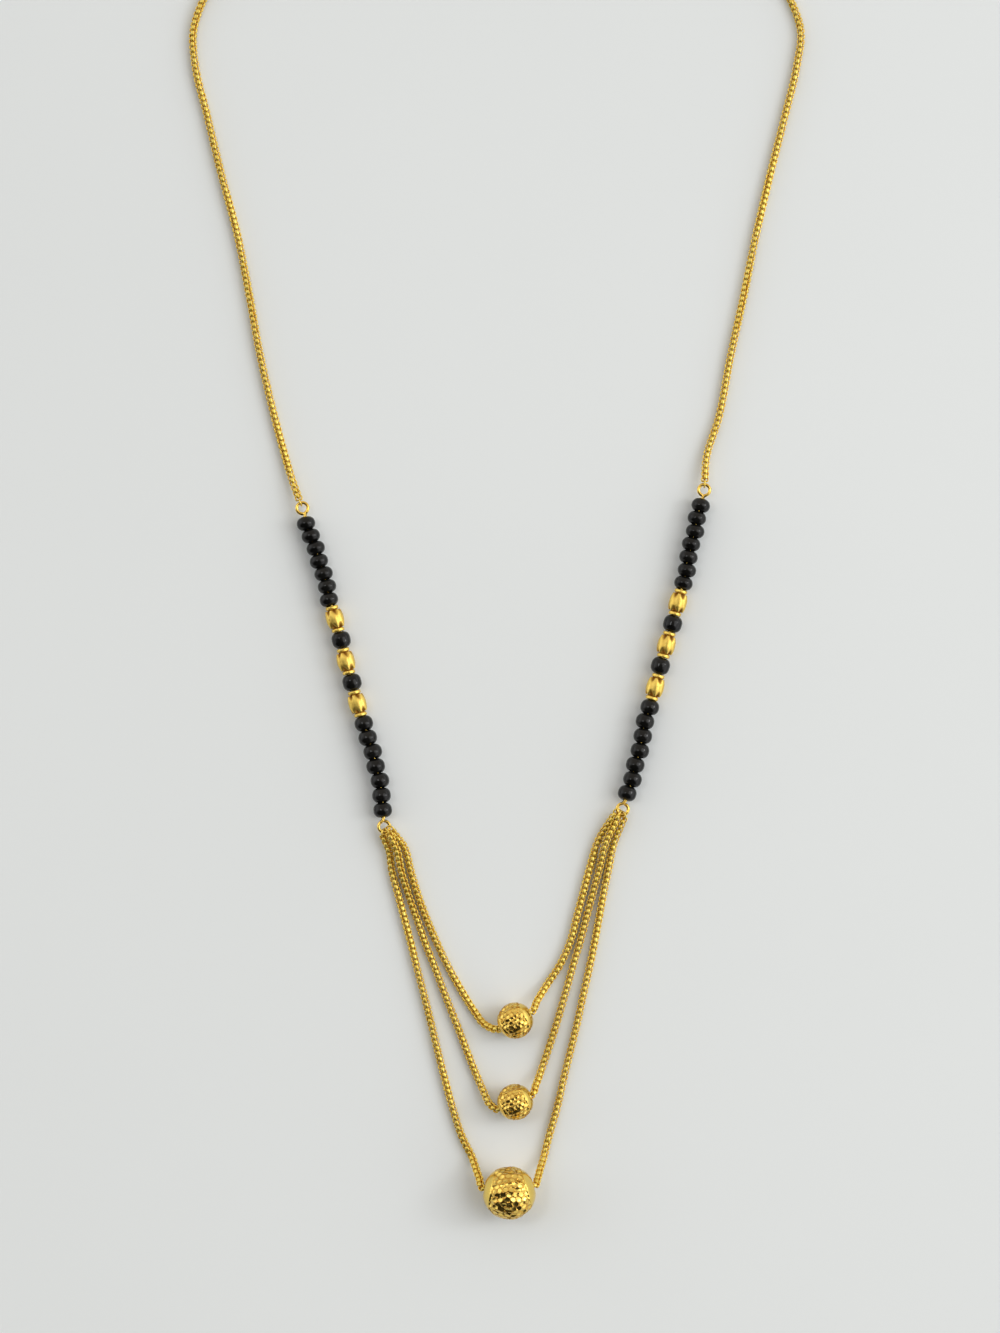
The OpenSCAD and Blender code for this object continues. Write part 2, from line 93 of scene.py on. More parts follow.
# Routes on the surface: chosen places in [x, y], the same as the part's own
BEAD_ROUTES: Route = {
    Hand.LEFT: [
        (-31.1, 3.9), (-29.8, -0.6), (-28.2, -5), (-26.8, -10.4), (-25, -17),
        (-23.2, -23.9), (-21.3, -30.6), (-19.6, -36.2), (-18.4, -42), (-18, -47.4),
    ],
    Hand.RIGHT: [
        (33.1, 6.8), (31.9, 1.8), (30.8, -3.2), (29.7, -8.3), (28, -14.6),
        (26.2, -21.2), (24.3, -28), (22.9, -34), (21.7, -39), (20.2, -43.8),
    ],
}
BACK_ROUTES: Route = {
    Hand.LEFT: [
        (-32.8, 8.6), (-34.4, 14), (-36.2, 21), (-38, 29), (-39.6, 38), (-41.5, 47.5),
        (-44, 57), (-46.3, 66.5), (-48.3, 75), (-48.56, 80), (-46.9, 85.3), (-43.2, 91.2),
        (-38, 96.2), (-31, 100.8), (-22.6, 104.4), (-13.6, 106.7),
    ],
    Hand.RIGHT: [
        (33.4, 11.6), (35.4, 18.2), (37.3, 28), (39.5, 38), (41.4, 47.5), (43.6, 57),
        (46, 66.5), (48, 75), (48.6, 80), (46.9, 85.3), (43.2, 91.2),
        (38, 96.2), (31, 100.8), (22.6, 104.4), (13.6, 106.7),
    ],
}
TOP_ROUTE: Route = {
    Hand.LEFT: [
        (-14.8, -50.3), (-13.8, -54), (-12.6, -58), (-11.2, -61.8), (-9.6, -65.6),
        (-7.7, -69.6), (-5.6, -73.4), (-3.6, -76.6), (-2, -78.6),
    ],
    Hand.RIGHT: [
        (6.4, -74.8), (8.1, -72.1), (10, -69.2), (11.7, -65.4), (12.7, -61.6), (13.7, -57.8),
        (14.7, -54), (16.2, -49.2),
    ],
}
MIDDLE_ROUTE: Route = {
    Hand.LEFT: [
        (-16, -50.6), (-15.3, -54), (-14.1, -58), (-12.8, -61.8), (-11.5, -65.6), (-9.9, -69.6),
        (-8.5, -73.4), (-6.3, -79), (-4.7, -83.2), (-3.1, -87.2), (-2.1, -89.4), (-1.2, -91.2),
    ],
    Hand.RIGHT: [
        (6.2, -88.2), (7.2, -85.6), (8.3, -82.4), (9.4, -79), (11, -73.4), (12.1, -69.4),
        (13.3, -65.4), (14.3, -61.6), (15.3, -57.8), (16.3, -54), (17.4, -49.4),
    ],
}
BOTTOM_ROUTE: Route = {
    Hand.LEFT: [
        (-17.2, -50.9), (-16.8, -54), (-15.8, -58), (-14.8, -61.8), (-13.8, -65.6), (-12.8, -69.6),
        (-11.8, -73.4), (-10.4, -79), (-9.4, -83.2), (-8.4, -87.2), (-7.1, -92), (-5.4, -97),
        (-4, -99.8), (-3.35, -101.6), (-2.8, -103.1),
    ],
    Hand.RIGHT: [
        (6.5, -103), (6.95, -101.5), (7.5, -99.8), (8.2, -97), (9.6, -92), (10.9, -86.3),
        (11.8, -82.7), (12.7, -79), (13.9, -73.4), (14.8, -69.4), (15.6, -65.4), (16.3, -61.6),
        (17, -57.8), (17.8, -54), (18.7, -49.7),
    ],
}
CLASP_AT: Place = (0, 107.5)


def unit(v: np.ndarray) -> np.ndarray:
    """The direction of a vector, or of each vector in an array."""
    return v / np.linalg.norm(v, axis=-1, keepdims=True)


def heading(v: np.ndarray) -> float:
    """The angle of a vector about Z, in degrees."""
    return math.degrees(math.atan2(v[1], v[0]))


def toward(angle: float, rise: float = 0) -> np.ndarray:
    """The direction at an angle about Z and a rise above the surface, in degrees."""
    a = math.radians(angle)
    e = math.radians(rise)
    return np.array([math.cos(a) * math.cos(e), math.sin(a) * math.cos(e), math.sin(e)])


def circle(angles: np.ndarray) -> np.ndarray:
    """The points of a unit circle at angles in radians."""
    return np.stack([np.cos(angles), np.sin(angles)], axis=-1)


def round_steps(count: int) -> np.ndarray:
    """The angles of even steps once round, in radians."""
    return np.arange(count) * 2 * np.pi / count


def ease(t: np.ndarray | float) -> np.ndarray | float:
    """A soft step from 0 to 1."""
    c = np.clip(t, 0, 1)
    return c * c * (3 - 2 * c)


def lifted(place: Sequence[float], z: float) -> np.ndarray:
    """A place on the surface as a point at the height z."""
    return np.array([place[0], place[1], z])


def turned(angle: float, rise: float = 0, roll: float = 0) -> np.ndarray:
    """A matrix that rolls about X, lifts +X by a rise and then turns it to an angle about Z."""
    a, e, r = (math.radians(v) for v in (angle, rise, roll))
    about_x = np.array([[1, 0, 0], [0, math.cos(r), -math.sin(r)], [0, math.sin(r), math.cos(r)]])
    about_y = np.array([[math.cos(e), 0, -math.sin(e)], [0, 1, 0], [math.sin(e), 0, math.cos(e)]])
    about_z = np.array([[math.cos(a), -math.sin(a), 0], [math.sin(a), math.cos(a), 0], [0, 0, 1]])
    return about_z @ about_y @ about_x


def node_middle(node: str) -> np.ndarray:
    """The middle of a node's box, in millimetres."""
    low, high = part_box(node)
    return (np.array(low) + np.array(high)) / 2 / MM


def linked(name: str, data: bpy.types.ID) -> bpy.types.Object:
    """A new object in the scene for a mesh, a light or a camera."""
    obj = bpy.data.objects.new(name, data)
    bpy.context.scene.collection.objects.link(obj)
    return obj


class Line:
    """A curve as short steps, which can be asked for its points and directions by distance."""

    def __init__(self, points: np.ndarray) -> None:
        """Measures the line through points, one row each."""
        self.points = points
        steps = np.linalg.norm(np.diff(points, axis=0), axis=1)
        self.miles = np.concatenate([[0], np.cumsum(steps)])
        self.length = float(self.miles[-1])

    @classmethod
    def smooth(cls, points: Sequence[Sequence[float]], step: float = 0.1) -> "Line":
        """Draws a smooth curve through points, as the part's source does.

        Args:
            points: the points that the curve passes through.
            step: the length of one step.

        Returns:
            The curve as a line.
        """
        p = np.array(points, float)
        gaps = np.linalg.norm(np.diff(p, axis=0), axis=1)
        ways = unit(np.diff(p, axis=0))
        before = gaps[:-1, None]
        after = gaps[1:, None]
        inner = (ways[:-1] * after + ways[1:] * before) / (before + after)
        slopes = np.concatenate([ways[:1], inner, ways[-1:]])
        parts = []
        for i, gap in enumerate(gaps):
            n = max(1, round(gap / step))
            t = (np.arange(n) / n)[:, None]
            t2 = t * t
            t3 = t2 * t
            parts.append((2 * t3 - 3 * t2 + 1) * p[i] + (t3 - 2 * t2 + t) * gap * slopes[i]
                         + (3 * t2 - 2 * t3) * p[i + 1] + (t3 - t2) * gap * slopes[i + 1])
        parts.append(p[-1:])
        return cls(np.concatenate(parts))

    def at(self, s: np.ndarray | float) -> np.ndarray:
        """The points at distances from the start, one row each, which may lie beyond an end."""
        s = np.atleast_1d(s)
        i = np.clip(np.searchsorted(self.miles, s, side="right") - 1, 0, len(self.miles) - 2)
        t = (s - self.miles[i]) / (self.miles[i + 1] - self.miles[i])
        return self.points[i] + (self.points[i + 1] - self.points[i]) * t[:, None]

    def way(self, s: np.ndarray | float, reach: float = 0.45) -> np.ndarray:
        """The directions at distances from the start, each taken over a reach to both sides."""
        s = np.atleast_1d(s)
        return unit(self.at(s + reach) - self.at(s - reach))

    def nearest(self, point: np.ndarray) -> float:
        """The distance from the start to where the line passes closest to a point."""
        return float(self.miles[np.argmin(np.linalg.norm(self.points - point, axis=1))])


@dataclass
class Shape:
    """A mesh in the making.

    Attributes:
        points: corner points in millimetres.
        quads: four-cornered faces.
        triangles: three-cornered faces.
        shade: for each point, how far it lies hidden, from 0 to 1, which sets how much film and
            painted shade it gets.
        tone: for each point, the plating's own tone, from 0 to 1.
    """

    points: np.ndarray
    quads: np.ndarray
    triangles: np.ndarray = field(default_factory=lambda: np.empty((0, 3), int))
    shade: np.ndarray | None = None
    tone: np.ndarray | None = None

    def __post_init__(self) -> None:
        """Fills in the shade and the tone where none is given."""
        if self.shade is None:
            self.shade = np.zeros(len(self.points))
        if self.tone is None:
            self.tone = np.full(len(self.points), 0.5)

    @classmethod
    def skin(cls, rings: np.ndarray, capped: bool = False,
             shade: np.ndarray | None = None) -> "Shape":
        """Joins rings of points that turn anticlockwise about the way that they follow each other.

        Args:
            rings: an array of rings, points and coordinates.
            capped: whether both ends are closed with a fan. Otherwise the last ring joins the first.
            shade: how hidden each point of each ring is, for a skin without caps.

        Returns:
            The skin over the rings.
        """
        count, sides = rings.shape[:2]
        k = np.arange(count - 1 if capped else count)[:, None]
        around = np.arange(sides)
        after = (around + 1) % sides
        rise = ((k + 1) % count - k) * sides
        a = k * sides + around
        b = k * sides + after
        quads = np.stack([a, b, b + rise, a + rise], axis=-1).reshape(-1, 4)
        points = rings.reshape(-1, 3)
        if not capped:
            return cls(points, quads, shade=None if shade is None else shade.reshape(-1))
        first = len(points)
        last = first - sides
        triangles = np.concatenate([
            np.stack([after, around, np.full(sides, first)], axis=-1),
            np.stack([last + around, last + after, np.full(sides, first + 1)], axis=-1),
        ])
        return cls(np.concatenate([points, [rings[0].mean(0), rings[-1].mean(0)]]), quads, triangles)

    @classmethod
    def joined(cls, shapes: Sequence["Shape"]) -> "Shape":
        """Several shapes as one."""
        starts = np.cumsum([0] + [len(s.points) for s in shapes[:-1]])
        return cls(
            np.concatenate([s.points for s in shapes]),
            np.concatenate([s.quads + n for s, n in zip(shapes, starts)]),
            np.concatenate([s.triangles + n for s, n in zip(shapes, starts)]),
            np.concatenate([s.shade for s in shapes]),
            np.concatenate([s.tone for s in shapes]),
        )

    def placed(self, turn: np.ndarray, at: np.ndarray) -> "Shape":
        """The shape turned by a matrix and moved to a point."""
        return Shape(self.points @ turn.T + at, self.quads, self.triangles, self.shade, self.tone)

    def piece(self, name: str, material: Material, slot: str, node: str) -> None:
        """Makes the Blender object, dresses it and lets it stand for a node.

        Args:
            name: the piece's name.
            material: its finish.
            slot: not used.
            node: the node that it replaces.
        """
        mesh = bpy.data.meshes.new(name)
        faces = self.quads.tolist() + self.triangles.tolist()
        mesh.from_pydata((self.points * MM).tolist(), [], faces)
        # The shade attribute sets how much of the plating's film and painted shade each point gets
        for word in ("shade", "tone"):
            layer = mesh.attributes.new(word, "FLOAT", "POINT")
            layer.data.foreach_set("value", getattr(self, word).astype(np.float32))
        mesh.shade_smooth()
        mesh.materials.append(material)
        mesh.validate()
        obj = linked(name, mesh)
        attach(obj, BODY)
        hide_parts(node)
        log.info("%s: %d faces", name, len(faces))


def bar(points: np.ndarray, radius: float, sides: int) -> Shape:
    """A round bar with rounded ends, along points that don't run straight up.

    Args:
        points: the bar's middle line.
        radius: its radius.
        sides: the number of its sides.

    Returns:
        The bar.
    """
    # How wide the rounded end still is, and how far past the last point, in radii
    tips = np.array([[0.35, 0.94], [0.8, 0.6], [1.0, 0.0]])
    straight = np.tile([1.0, 0.0], (len(points) - 2, 1))
    steps = np.concatenate([tips * [1, -1], straight, tips[::-1]])
    own = np.clip(np.arange(len(steps)) - len(tips) + 1, 0, len(points) - 1)
    ways = unit(np.gradient(points, axis=0))[own]
    side = unit(np.cross(UP, ways))
    rise = np.cross(ways, side)
    middle = points[own] + ways * steps[:, 1:] * radius
    around = circle(round_steps(sides))
    rings = middle[:, None] + (steps[:, None, :1] * radius
                               * (around[:, :1] * side[:, None] + around[:, 1:] * rise[:, None]))
    return Shape.skin(rings, capped=True)


def torus(radius: float, wire: float, around: int = 40, sides: int = 14) -> Shape:
    """A ring of wire in the plane of X and Z.

    Args:
        radius: from its middle to the wire's middle.
        wire: the wire's radius.
        around: steps round the ring.
        sides: steps round the wire.

    Returns:
        The ring.
    """
    a = round_steps(around)[:, None]
    b = round_steps(sides)[None]
    out = radius + wire * np.cos(b)
    return Shape.skin(np.stack([np.cos(a) * out, wire * np.sin(b) + 0 * a, np.sin(a) * out], axis=-1))


def turning(x: np.ndarray, radii: np.ndarray, shade: np.ndarray | None = None) -> Shape:
    """A closed profile turned about X.

    Args:
        x: the profile's places along X, anticlockwise with X to the right and the radius up.
        radii: each one's radius at each step round.
        shade: how hidden each one is at each step round.

    Returns:
        The turned shape, with the profile's hole through it.
    """
    around = circle(round_steps(radii.shape[1]))
    along = np.broadcast_to(x[:, None, None], (*radii.shape, 1))
    rings = np.concatenate([along, radii[..., None] * around], axis=-1)
    return Shape.skin(rings[::-1], shade=None if shade is None else shade[::-1])


class NodeTree:
    """A few short words for making a tree of shader nodes."""

    def __init__(self, tree: bpy.types.NodeTree) -> None:
        """Takes a tree to add nodes to."""
        self.tree = tree

    @classmethod
    def of(cls, owner: Material | bpy.types.World) -> "NodeTree":
        """The emptied tree of a material or a world."""
        owner.use_nodes = True
        owner.node_tree.nodes.clear()
        return cls(owner.node_tree)

    def add(self, kind: str, **facts: object) -> bpy.types.Node:
        """Adds a node of a kind with its settings."""
        node = self.tree.nodes.new(kind)
        for name, value in facts.items():
            setattr(node, name, value)
        return node

    def feed(self, socket: Socket, value: object) -> None:
        """Links a socket into an input, or sets the input to a plain value."""
        if isinstance(value, Socket):
            self.tree.links.new(value, socket)
        else:
            socket.default_value = value

    def maths(self, operation: str, a: object, b: object, clamp: bool = False) -> Socket:
        """The result of a sum on two values or sockets, kept from 0 to 1 if clamp is set."""
        node = self.add("ShaderNodeMath", operation=operation, use_clamp=clamp)
        self.feed(node.inputs[0], a)
        self.feed(node.inputs[1], b)
        return node.outputs[0]

    def noise(self, vector: Socket, scale: object, detail: float = 2, rough: float = 0.5) -> Socket:
        """Soft noise from 0 to 1 over a vector.

        Args:
            vector: the coordinate's socket.
            scale: the noise's scale.
            detail: the number of finer layers.
            rough: the finer layers' strength.

        Returns:
            The noise's socket.
        """
        node = self.add("ShaderNodeTexNoise", noise_dimensions="3D")
        self.feed(node.inputs["Vector"], vector)
        self.feed(node.inputs["Scale"], scale)
        node.inputs["Detail"].default_value = detail
        node.inputs["Roughness"].default_value = rough
        return node.outputs["Fac"]

    def mix(self, share: object, a: object, b: object) -> Socket:
        """A colour between two others."""
        node = self.add("ShaderNodeMix", data_type="RGBA")
        for i, value in ((0, share), (6, a), (7, b)):
            self.feed(node.inputs[i], value)
        return node.outputs[2]

    def between(self, value: object, low: object, high: object) -> Socket:
        """A value from 0 to 1 spread over the stretch from low to high."""
        node = self.add("ShaderNodeMapRange")
        for word, fed in (("Value", value), ("To Min", low), ("To Max", high)):
            self.feed(node.inputs[word], fed)
        return node.outputs["Result"]

    def bump(self, height: Socket, depth: float) -> Socket:
        """The normal over a bump from a height, whose depth is in millimetres."""
        node = self.add("ShaderNodeBump")
        node.inputs["Distance"].default_value = depth * MM
        self.feed(node.inputs["Height"], height)
        return node.outputs["Normal"]


class EffectGroup:
    """A shader node group with named inputs and outputs, built once."""

    name = "effect"
    takes: dict[str, tuple[str, object]] = {}
    gives = {"Colour": "NodeSocketColor", "Roughness": "NodeSocketFloat",
             "Height": "NodeSocketFloat"}

    def group(self) -> bpy.types.NodeTree:
        """The group's tree, which is made on the first call.

        Returns:
            The tree.
        """
        found = bpy.data.node_groups.get(self.name)
        if found:
            return found
        tree = bpy.data.node_groups.new(self.name, "ShaderNodeTree")
        for word, (kind, value) in self.takes.items():
            socket = tree.interface.new_socket(word, in_out="INPUT", socket_type=kind)
            socket.default_value = value
        for word, kind in self.gives.items():
            tree.interface.new_socket(word, in_out="OUTPUT", socket_type=kind)
        made = NodeTree(tree)
        start = made.add("NodeGroupInput")
        end = made.add("NodeGroupOutput")
        for word, socket in self.wire(made, start.outputs).items():
            made.feed(end.inputs[word], socket)
        return tree

    def wire(self, tree: NodeTree, given: object) -> dict[str, Socket]:
        """Makes the group's nodes.

        Args:
            tree: the group's tree.
            given: the group's inputs as sockets.

        Returns:
            The socket for each output.
        """
        raise NotImplementedError

    def put(self, tree: NodeTree, **values: object) -> bpy.types.Node:
        """Places the group's node in a tree, with a value or socket for each input."""
        node = tree.add("ShaderNodeGroup", node_tree=self.group())
        for word, value in values.items():
            tree.feed(node.inputs[word], value)
        return node


class PlatingWearAndShade(EffectGroup):
    """Uneven plating: a tone that drifts, dull film and painted shade in what is hidden, and fine
    scratches.
    """

    name = "Plating wear and shade"
    takes = {
        "Bright": ("NodeSocketColor", (1, 1, 1, 1)),
        "Deep": ("NodeSocketColor", (0, 0, 0, 1)),
        "Film": ("NodeSocketColor", (0, 0, 0, 1)),
        "Shade": ("NodeSocketFloat", 0.0),
        "Tone": ("NodeSocketFloat", 0.5),
        "Grain": ("NodeSocketFloat", 1.0),
        "Smooth": ("NodeSocketFloat", 0.2),
        "Dull": ("NodeSocketFloat", 0.4),
    }
    drift_scale = 260.0
    smear_scale = 900.0
    scratch_scale = 4500.0
    film_and_shade_range = (0.6, 1.1)
    smear_dulls = 0.55
    shade_dulls = 0.6

    def wire(self, tree: NodeTree, given: object) -> dict[str, Socket]:
        """Makes the group's nodes; see EffectGroup.wire."""
        def share(value: Socket, part: object) -> Socket:
            """A part of a value."""
            return tree.maths("MULTIPLY", value, part)

        place = tree.add("ShaderNodeTexCoord").outputs["Object"]
        drift = tree.noise(place, self.drift_scale, 2)
        smear = tree.noise(place, self.smear_scale, 3, 0.6)
        fine = tree.noise(place, share(given["Grain"], self.scratch_scale), 3, 0.7)
        tone = tree.maths("ADD", share(drift, 0.5), share(given["Tone"], 0.5), clamp=True)
        plated = tree.mix(tone, given["Deep"], given["Bright"])
        # Film and painted shade: the darker colour is mixed in, in patches, where a point is hidden
        patches = tree.between(smear, *self.film_and_shade_range)
        film = tree.maths("MULTIPLY", given["Shade"], patches, clamp=True)
        colour = tree.mix(film, plated, given["Film"])
        spread = tree.maths("ADD", share(smear, self.smear_dulls),
                            share(given["Shade"], self.shade_dulls), clamp=True)
        rough = tree.between(spread, given["Smooth"], given["Dull"])
        return {"Colour": colour, "Roughness": rough, "Height": fine}


class HandlingFilm(EffectGroup):
    """What handling leaves on glass: a faint film in patches and small pits."""

    name = "Handling film"
    takes = {
        "Glass": ("NodeSocketColor", (0, 0, 0, 1)),
        "Haze": ("NodeSocketColor", (0, 0, 0, 1)),
        "Smooth": ("NodeSocketFloat", 0.05),
        "Dull": ("NodeSocketFloat", 0.2),
    }
    patch_scale = 420.0
    patch_range = (-0.4, 1.4)
    pit_scale = 1400.0

    def wire(self, tree: NodeTree, given: object) -> dict[str, Socket]:
        """Makes the group's nodes; see EffectGroup.wire."""
        place = tree.add("ShaderNodeTexCoord").outputs["Object"]
        patches = tree.noise(place, self.patch_scale, 3, 0.6)
        pits = tree.noise(place, self.pit_scale, 2, 0.5)
        share = tree.maths("MAXIMUM", tree.between(patches, *self.patch_range), 0.0, clamp=True)
        return {
            "Colour": tree.mix(share, given["Glass"], given["Haze"]),
            "Roughness": tree.between(share, given["Smooth"], given["Dull"]),
            "Height": pits,
        }


@dataclass(frozen=True)
class Finish:
    """A material that is one Principled BSDF.

    Attributes:
        name: the material's name.
    """

    name: str

    def values(self, tree: NodeTree) -> dict[str, object]:
        """Makes the nodes before the shader.

        Args:
            tree: the material's tree.

        Returns:
            A value or a socket for each of the shader's inputs that has its own.
        """
        raise NotImplementedError

    def worn(self, tree: NodeTree, effect: bpy.types.Node, depth: float) -> dict[str, object]:
        """What an effect's node gives the shader, with a bump of a depth in millimetres."""
        out = effect.outputs
        return {"Base Color": out["Colour"], "Roughness": out["Roughness"],
                "Normal": tree.bump(out["Height"], depth)}

    def material(self) -> Material:
        """Builds the material.

        Returns:
            The material.
        """
        material = bpy.data.materials.new(self.name)
        tree = NodeTree.of(material)
        shader = tree.add("ShaderNodeBsdfPrincipled")
        end = tree.add("ShaderNodeOutputMaterial")
        tree.feed(end.inputs["Surface"], shader.outputs["BSDF"])
        for word, value in self.values(tree).items():
            tree.feed(shader.inputs[word], value)
        return material


@dataclass(frozen=True)
class GoldPlate(Finish):
    """Gold plating over brass, under a clear lacquer.

    Attributes:
        bright: the plating where it is freshest.
        deep: the plating where it is warmest.
        film: the colour of dull film and of painted shade in what is hidden.
        smooth: the roughness of the open surface.
        dull: the roughness under the film and painted shade.
        grain: how fine the scratches are.
        scratch: how deep they are, in millimetres.
        lacquer: how much of the plating the lacquer covers.
        gloss: the roughness of the lacquer.
    """

    bright: Colour
    deep: Colour
    film: Colour
    smooth: float
    dull: float
    grain: float = 1
    scratch: float = 0.002
    lacquer: float = 0.1
    gloss: float = 0.12

    def values(self, tree: NodeTree) -> dict[str, object]:
        """Makes the nodes before the shader; see Finish.values."""
        shade, tone = (tree.add("ShaderNodeAttribute", attribute_name=word).outputs["Fac"]
                       for word in ("shade", "tone"))
        wear = PlatingWearAndShade().put(tree, Bright=self.bright, Deep=self.deep, Film=self.film,
                                 Shade=shade, Tone=tone, Grain=self.grain, Smooth=self.smooth,
                                 Dull=self.dull)
        return {**self.worn(tree, wear, self.scratch), "Metallic": 1.0,
                "Coat Weight": self.lacquer, "Coat Roughness": self.gloss}


@dataclass(frozen=True)
class BlackGlass(Finish):
    """Opaque black glass.

    Attributes:
        name: the material's name.
        glass: the glass itself.
        haze: the glass under a film.
        smooth: the roughness of clean glass.
        dull: the roughness under the film.
        pit: how deep the pits are, in millimetres.
        ior: the glass's index of refraction.
        sheen: the strength of its mirror light.
    """

    name: str = "Black glass"
    glass: Colour = (0.002, 0.002, 0.002, 1)
    haze: Colour = (0.009, 0.009, 0.008, 1)
    smooth: float = 0.05
    dull: float = 0.16
    pit: float = 0.01
    ior: float = 1.45
    sheen: float = 0.31

    def values(self, tree: NodeTree) -> dict[str, object]:
        """Makes the nodes before the shader; see Finish.values."""
        film = HandlingFilm().put(tree, Glass=self.glass, Haze=self.haze, Smooth=self.smooth,
                                  Dull=self.dull)
        return {**self.worn(tree, film, self.pit), "IOR": self.ior,
                "Specular IOR Level": self.sheen}


@dataclass(frozen=True)
class PaleSurface(Finish):
    """The plain pale surface that the necklace lies on, with its two tones and its finish."""

    name: str = "Pale surface"
    light: Colour = (0.87, 0.912, 0.925, 1)
    dark: Colour = (0.838, 0.88, 0.892, 1)
    cloud_scale: float = 9.0
    rough: float = 0.8
    sheen: float = 0.2

    def values(self, tree: NodeTree) -> dict[str, object]:
        """Makes the nodes before the shader; see Finish.values."""
        place = tree.add("ShaderNodeTexCoord").outputs["Object"]
        cloud = tree.noise(place, self.cloud_scale, 4)
        return {"Base Color": tree.mix(cloud, self.light, self.dark), "Roughness": self.rough,
                "Specular IOR Level": self.sheen}


# Each plating's third colour is its film and painted shade in what is hidden; on the chain it is a
# strong orange that also stands in for light bounced between the links, and the wire's pieces have
# nothing hidden
CHAIN_GOLD = GoldPlate("Gold plate on chain", (0.86, 0.69, 0.17, 1), (0.82, 0.58, 0.09, 1),
                       (0.88, 0.46, 0.03, 1), 0.42, 0.5)
BALL_GOLD = GoldPlate("Gold plate on cut balls", (0.98, 0.78, 0.21, 1), (0.94, 0.66, 0.12, 1),
                      (0.50, 0.24, 0.03, 1), 0.12, 0.3, 0.8, 0.009)
BEAD_GOLD = GoldPlate("Pale gold plate on beads", (0.88, 0.67, 0.16, 1), (0.84, 0.54, 0.09, 1),
                      (0.30, 0.11, 0.01, 1), 0.3, 0.6, 0.42, 0.075)
WIRE_GOLD = GoldPlate("Gold plate on wire", (0.87, 0.62, 0.15, 1), (0.82, 0.51, 0.08, 1),
                      (0.42, 0.19, 0.02, 1), 0.15, 0.35)


@dataclass
class BeadString:
    """A side's wire with its beads.

    Attributes:
        hand: the side.
        order: the kinds of its beads from the back chain down.
        wire_r: the wire's radius.
        eye_d: the outer diameter of the eye at each end.
        eye_start: how far from its stem's side an eye's wire starts, in degrees.
        eye_sweep: how far round it goes, in degrees.
        stem: the bare wire between an eye and the nearest bead.
        bead_gap: the clear length between two beads.
        height: how high the wire lies.
    """

    hand: Hand
    order: list[BeadKind] = field(default_factory=lambda: [
        *[BeadKind.UPPER] * 7,
        BeadKind.GOLD, BeadKind.SINGLE, BeadKind.GOLD, BeadKind.SINGLE, BeadKind.GOLD,
        *[BeadKind.LOWER] * 7,
    ])
    wire_r: float = 0.26
    eye_d: float = 2.3
    eye_start: float = -70
    eye_sweep: float = 330
    stem: float = 0.4
    bead_gap: float = 0.17
    height: float = 1.5

    def __post_init__(self) -> None:
        """Works out the wire's line and length."""
        self.line = Line.smooth([(x, y, self.height) for x, y in BEAD_ROUTES[self.hand]])
        self.eye_r = self.eye_d / 2 - self.wire_r
        beads = sum(kind.value for kind in self.order) + (len(self.order) - 1) * self.bead_gap
        self.length = beads + 2 * (self.eye_r + self.wire_r + self.stem)
        self.upper_eye = self.line.points[0]
        self.lower_eye = self.line.at(self.length)[0]

    def eye(self, centre: np.ndarray, turn: float) -> np.ndarray:
        """The points of an eye about its middle, from its stem at a heading round to its tip."""
        a = np.radians(turn + self.eye_start + self.eye_sweep * np.linspace(0, 1, 44))
        return centre + self.eye_r * np.stack([np.cos(a), np.sin(a), 0 * a], axis=-1)

    def build(self, material: Material) -> None:
        """Makes the wire with its two eyes.

        Args:
            material: the plating.
        """
        bend = self.eye_r + 2 * self.wire_r
        ends = self.line.way(np.array([2 * self.wire_r, self.length - 2 * self.wire_r]))
        points = np.concatenate([
            self.eye(self.upper_eye, heading(ends[0]) + 90)[::-1],
            self.line.at(np.linspace(bend, self.length - bend, 80)),
            self.eye(self.lower_eye, heading(ends[1]) - 90),
        ])
        node = f"bead_wire_{self.hand.word}"
        bar(points, self.wire_r, 16).piece(f"bent_{node}", material, "wire_gold", node)

    def turn_at(self, point: np.ndarray) -> float:
        """The wire's heading where it passes closest to a point."""
        return heading(self.line.way(self.line.nearest(point), 2 * self.wire_r)[0])


Strings = dict[Hand, BeadString]


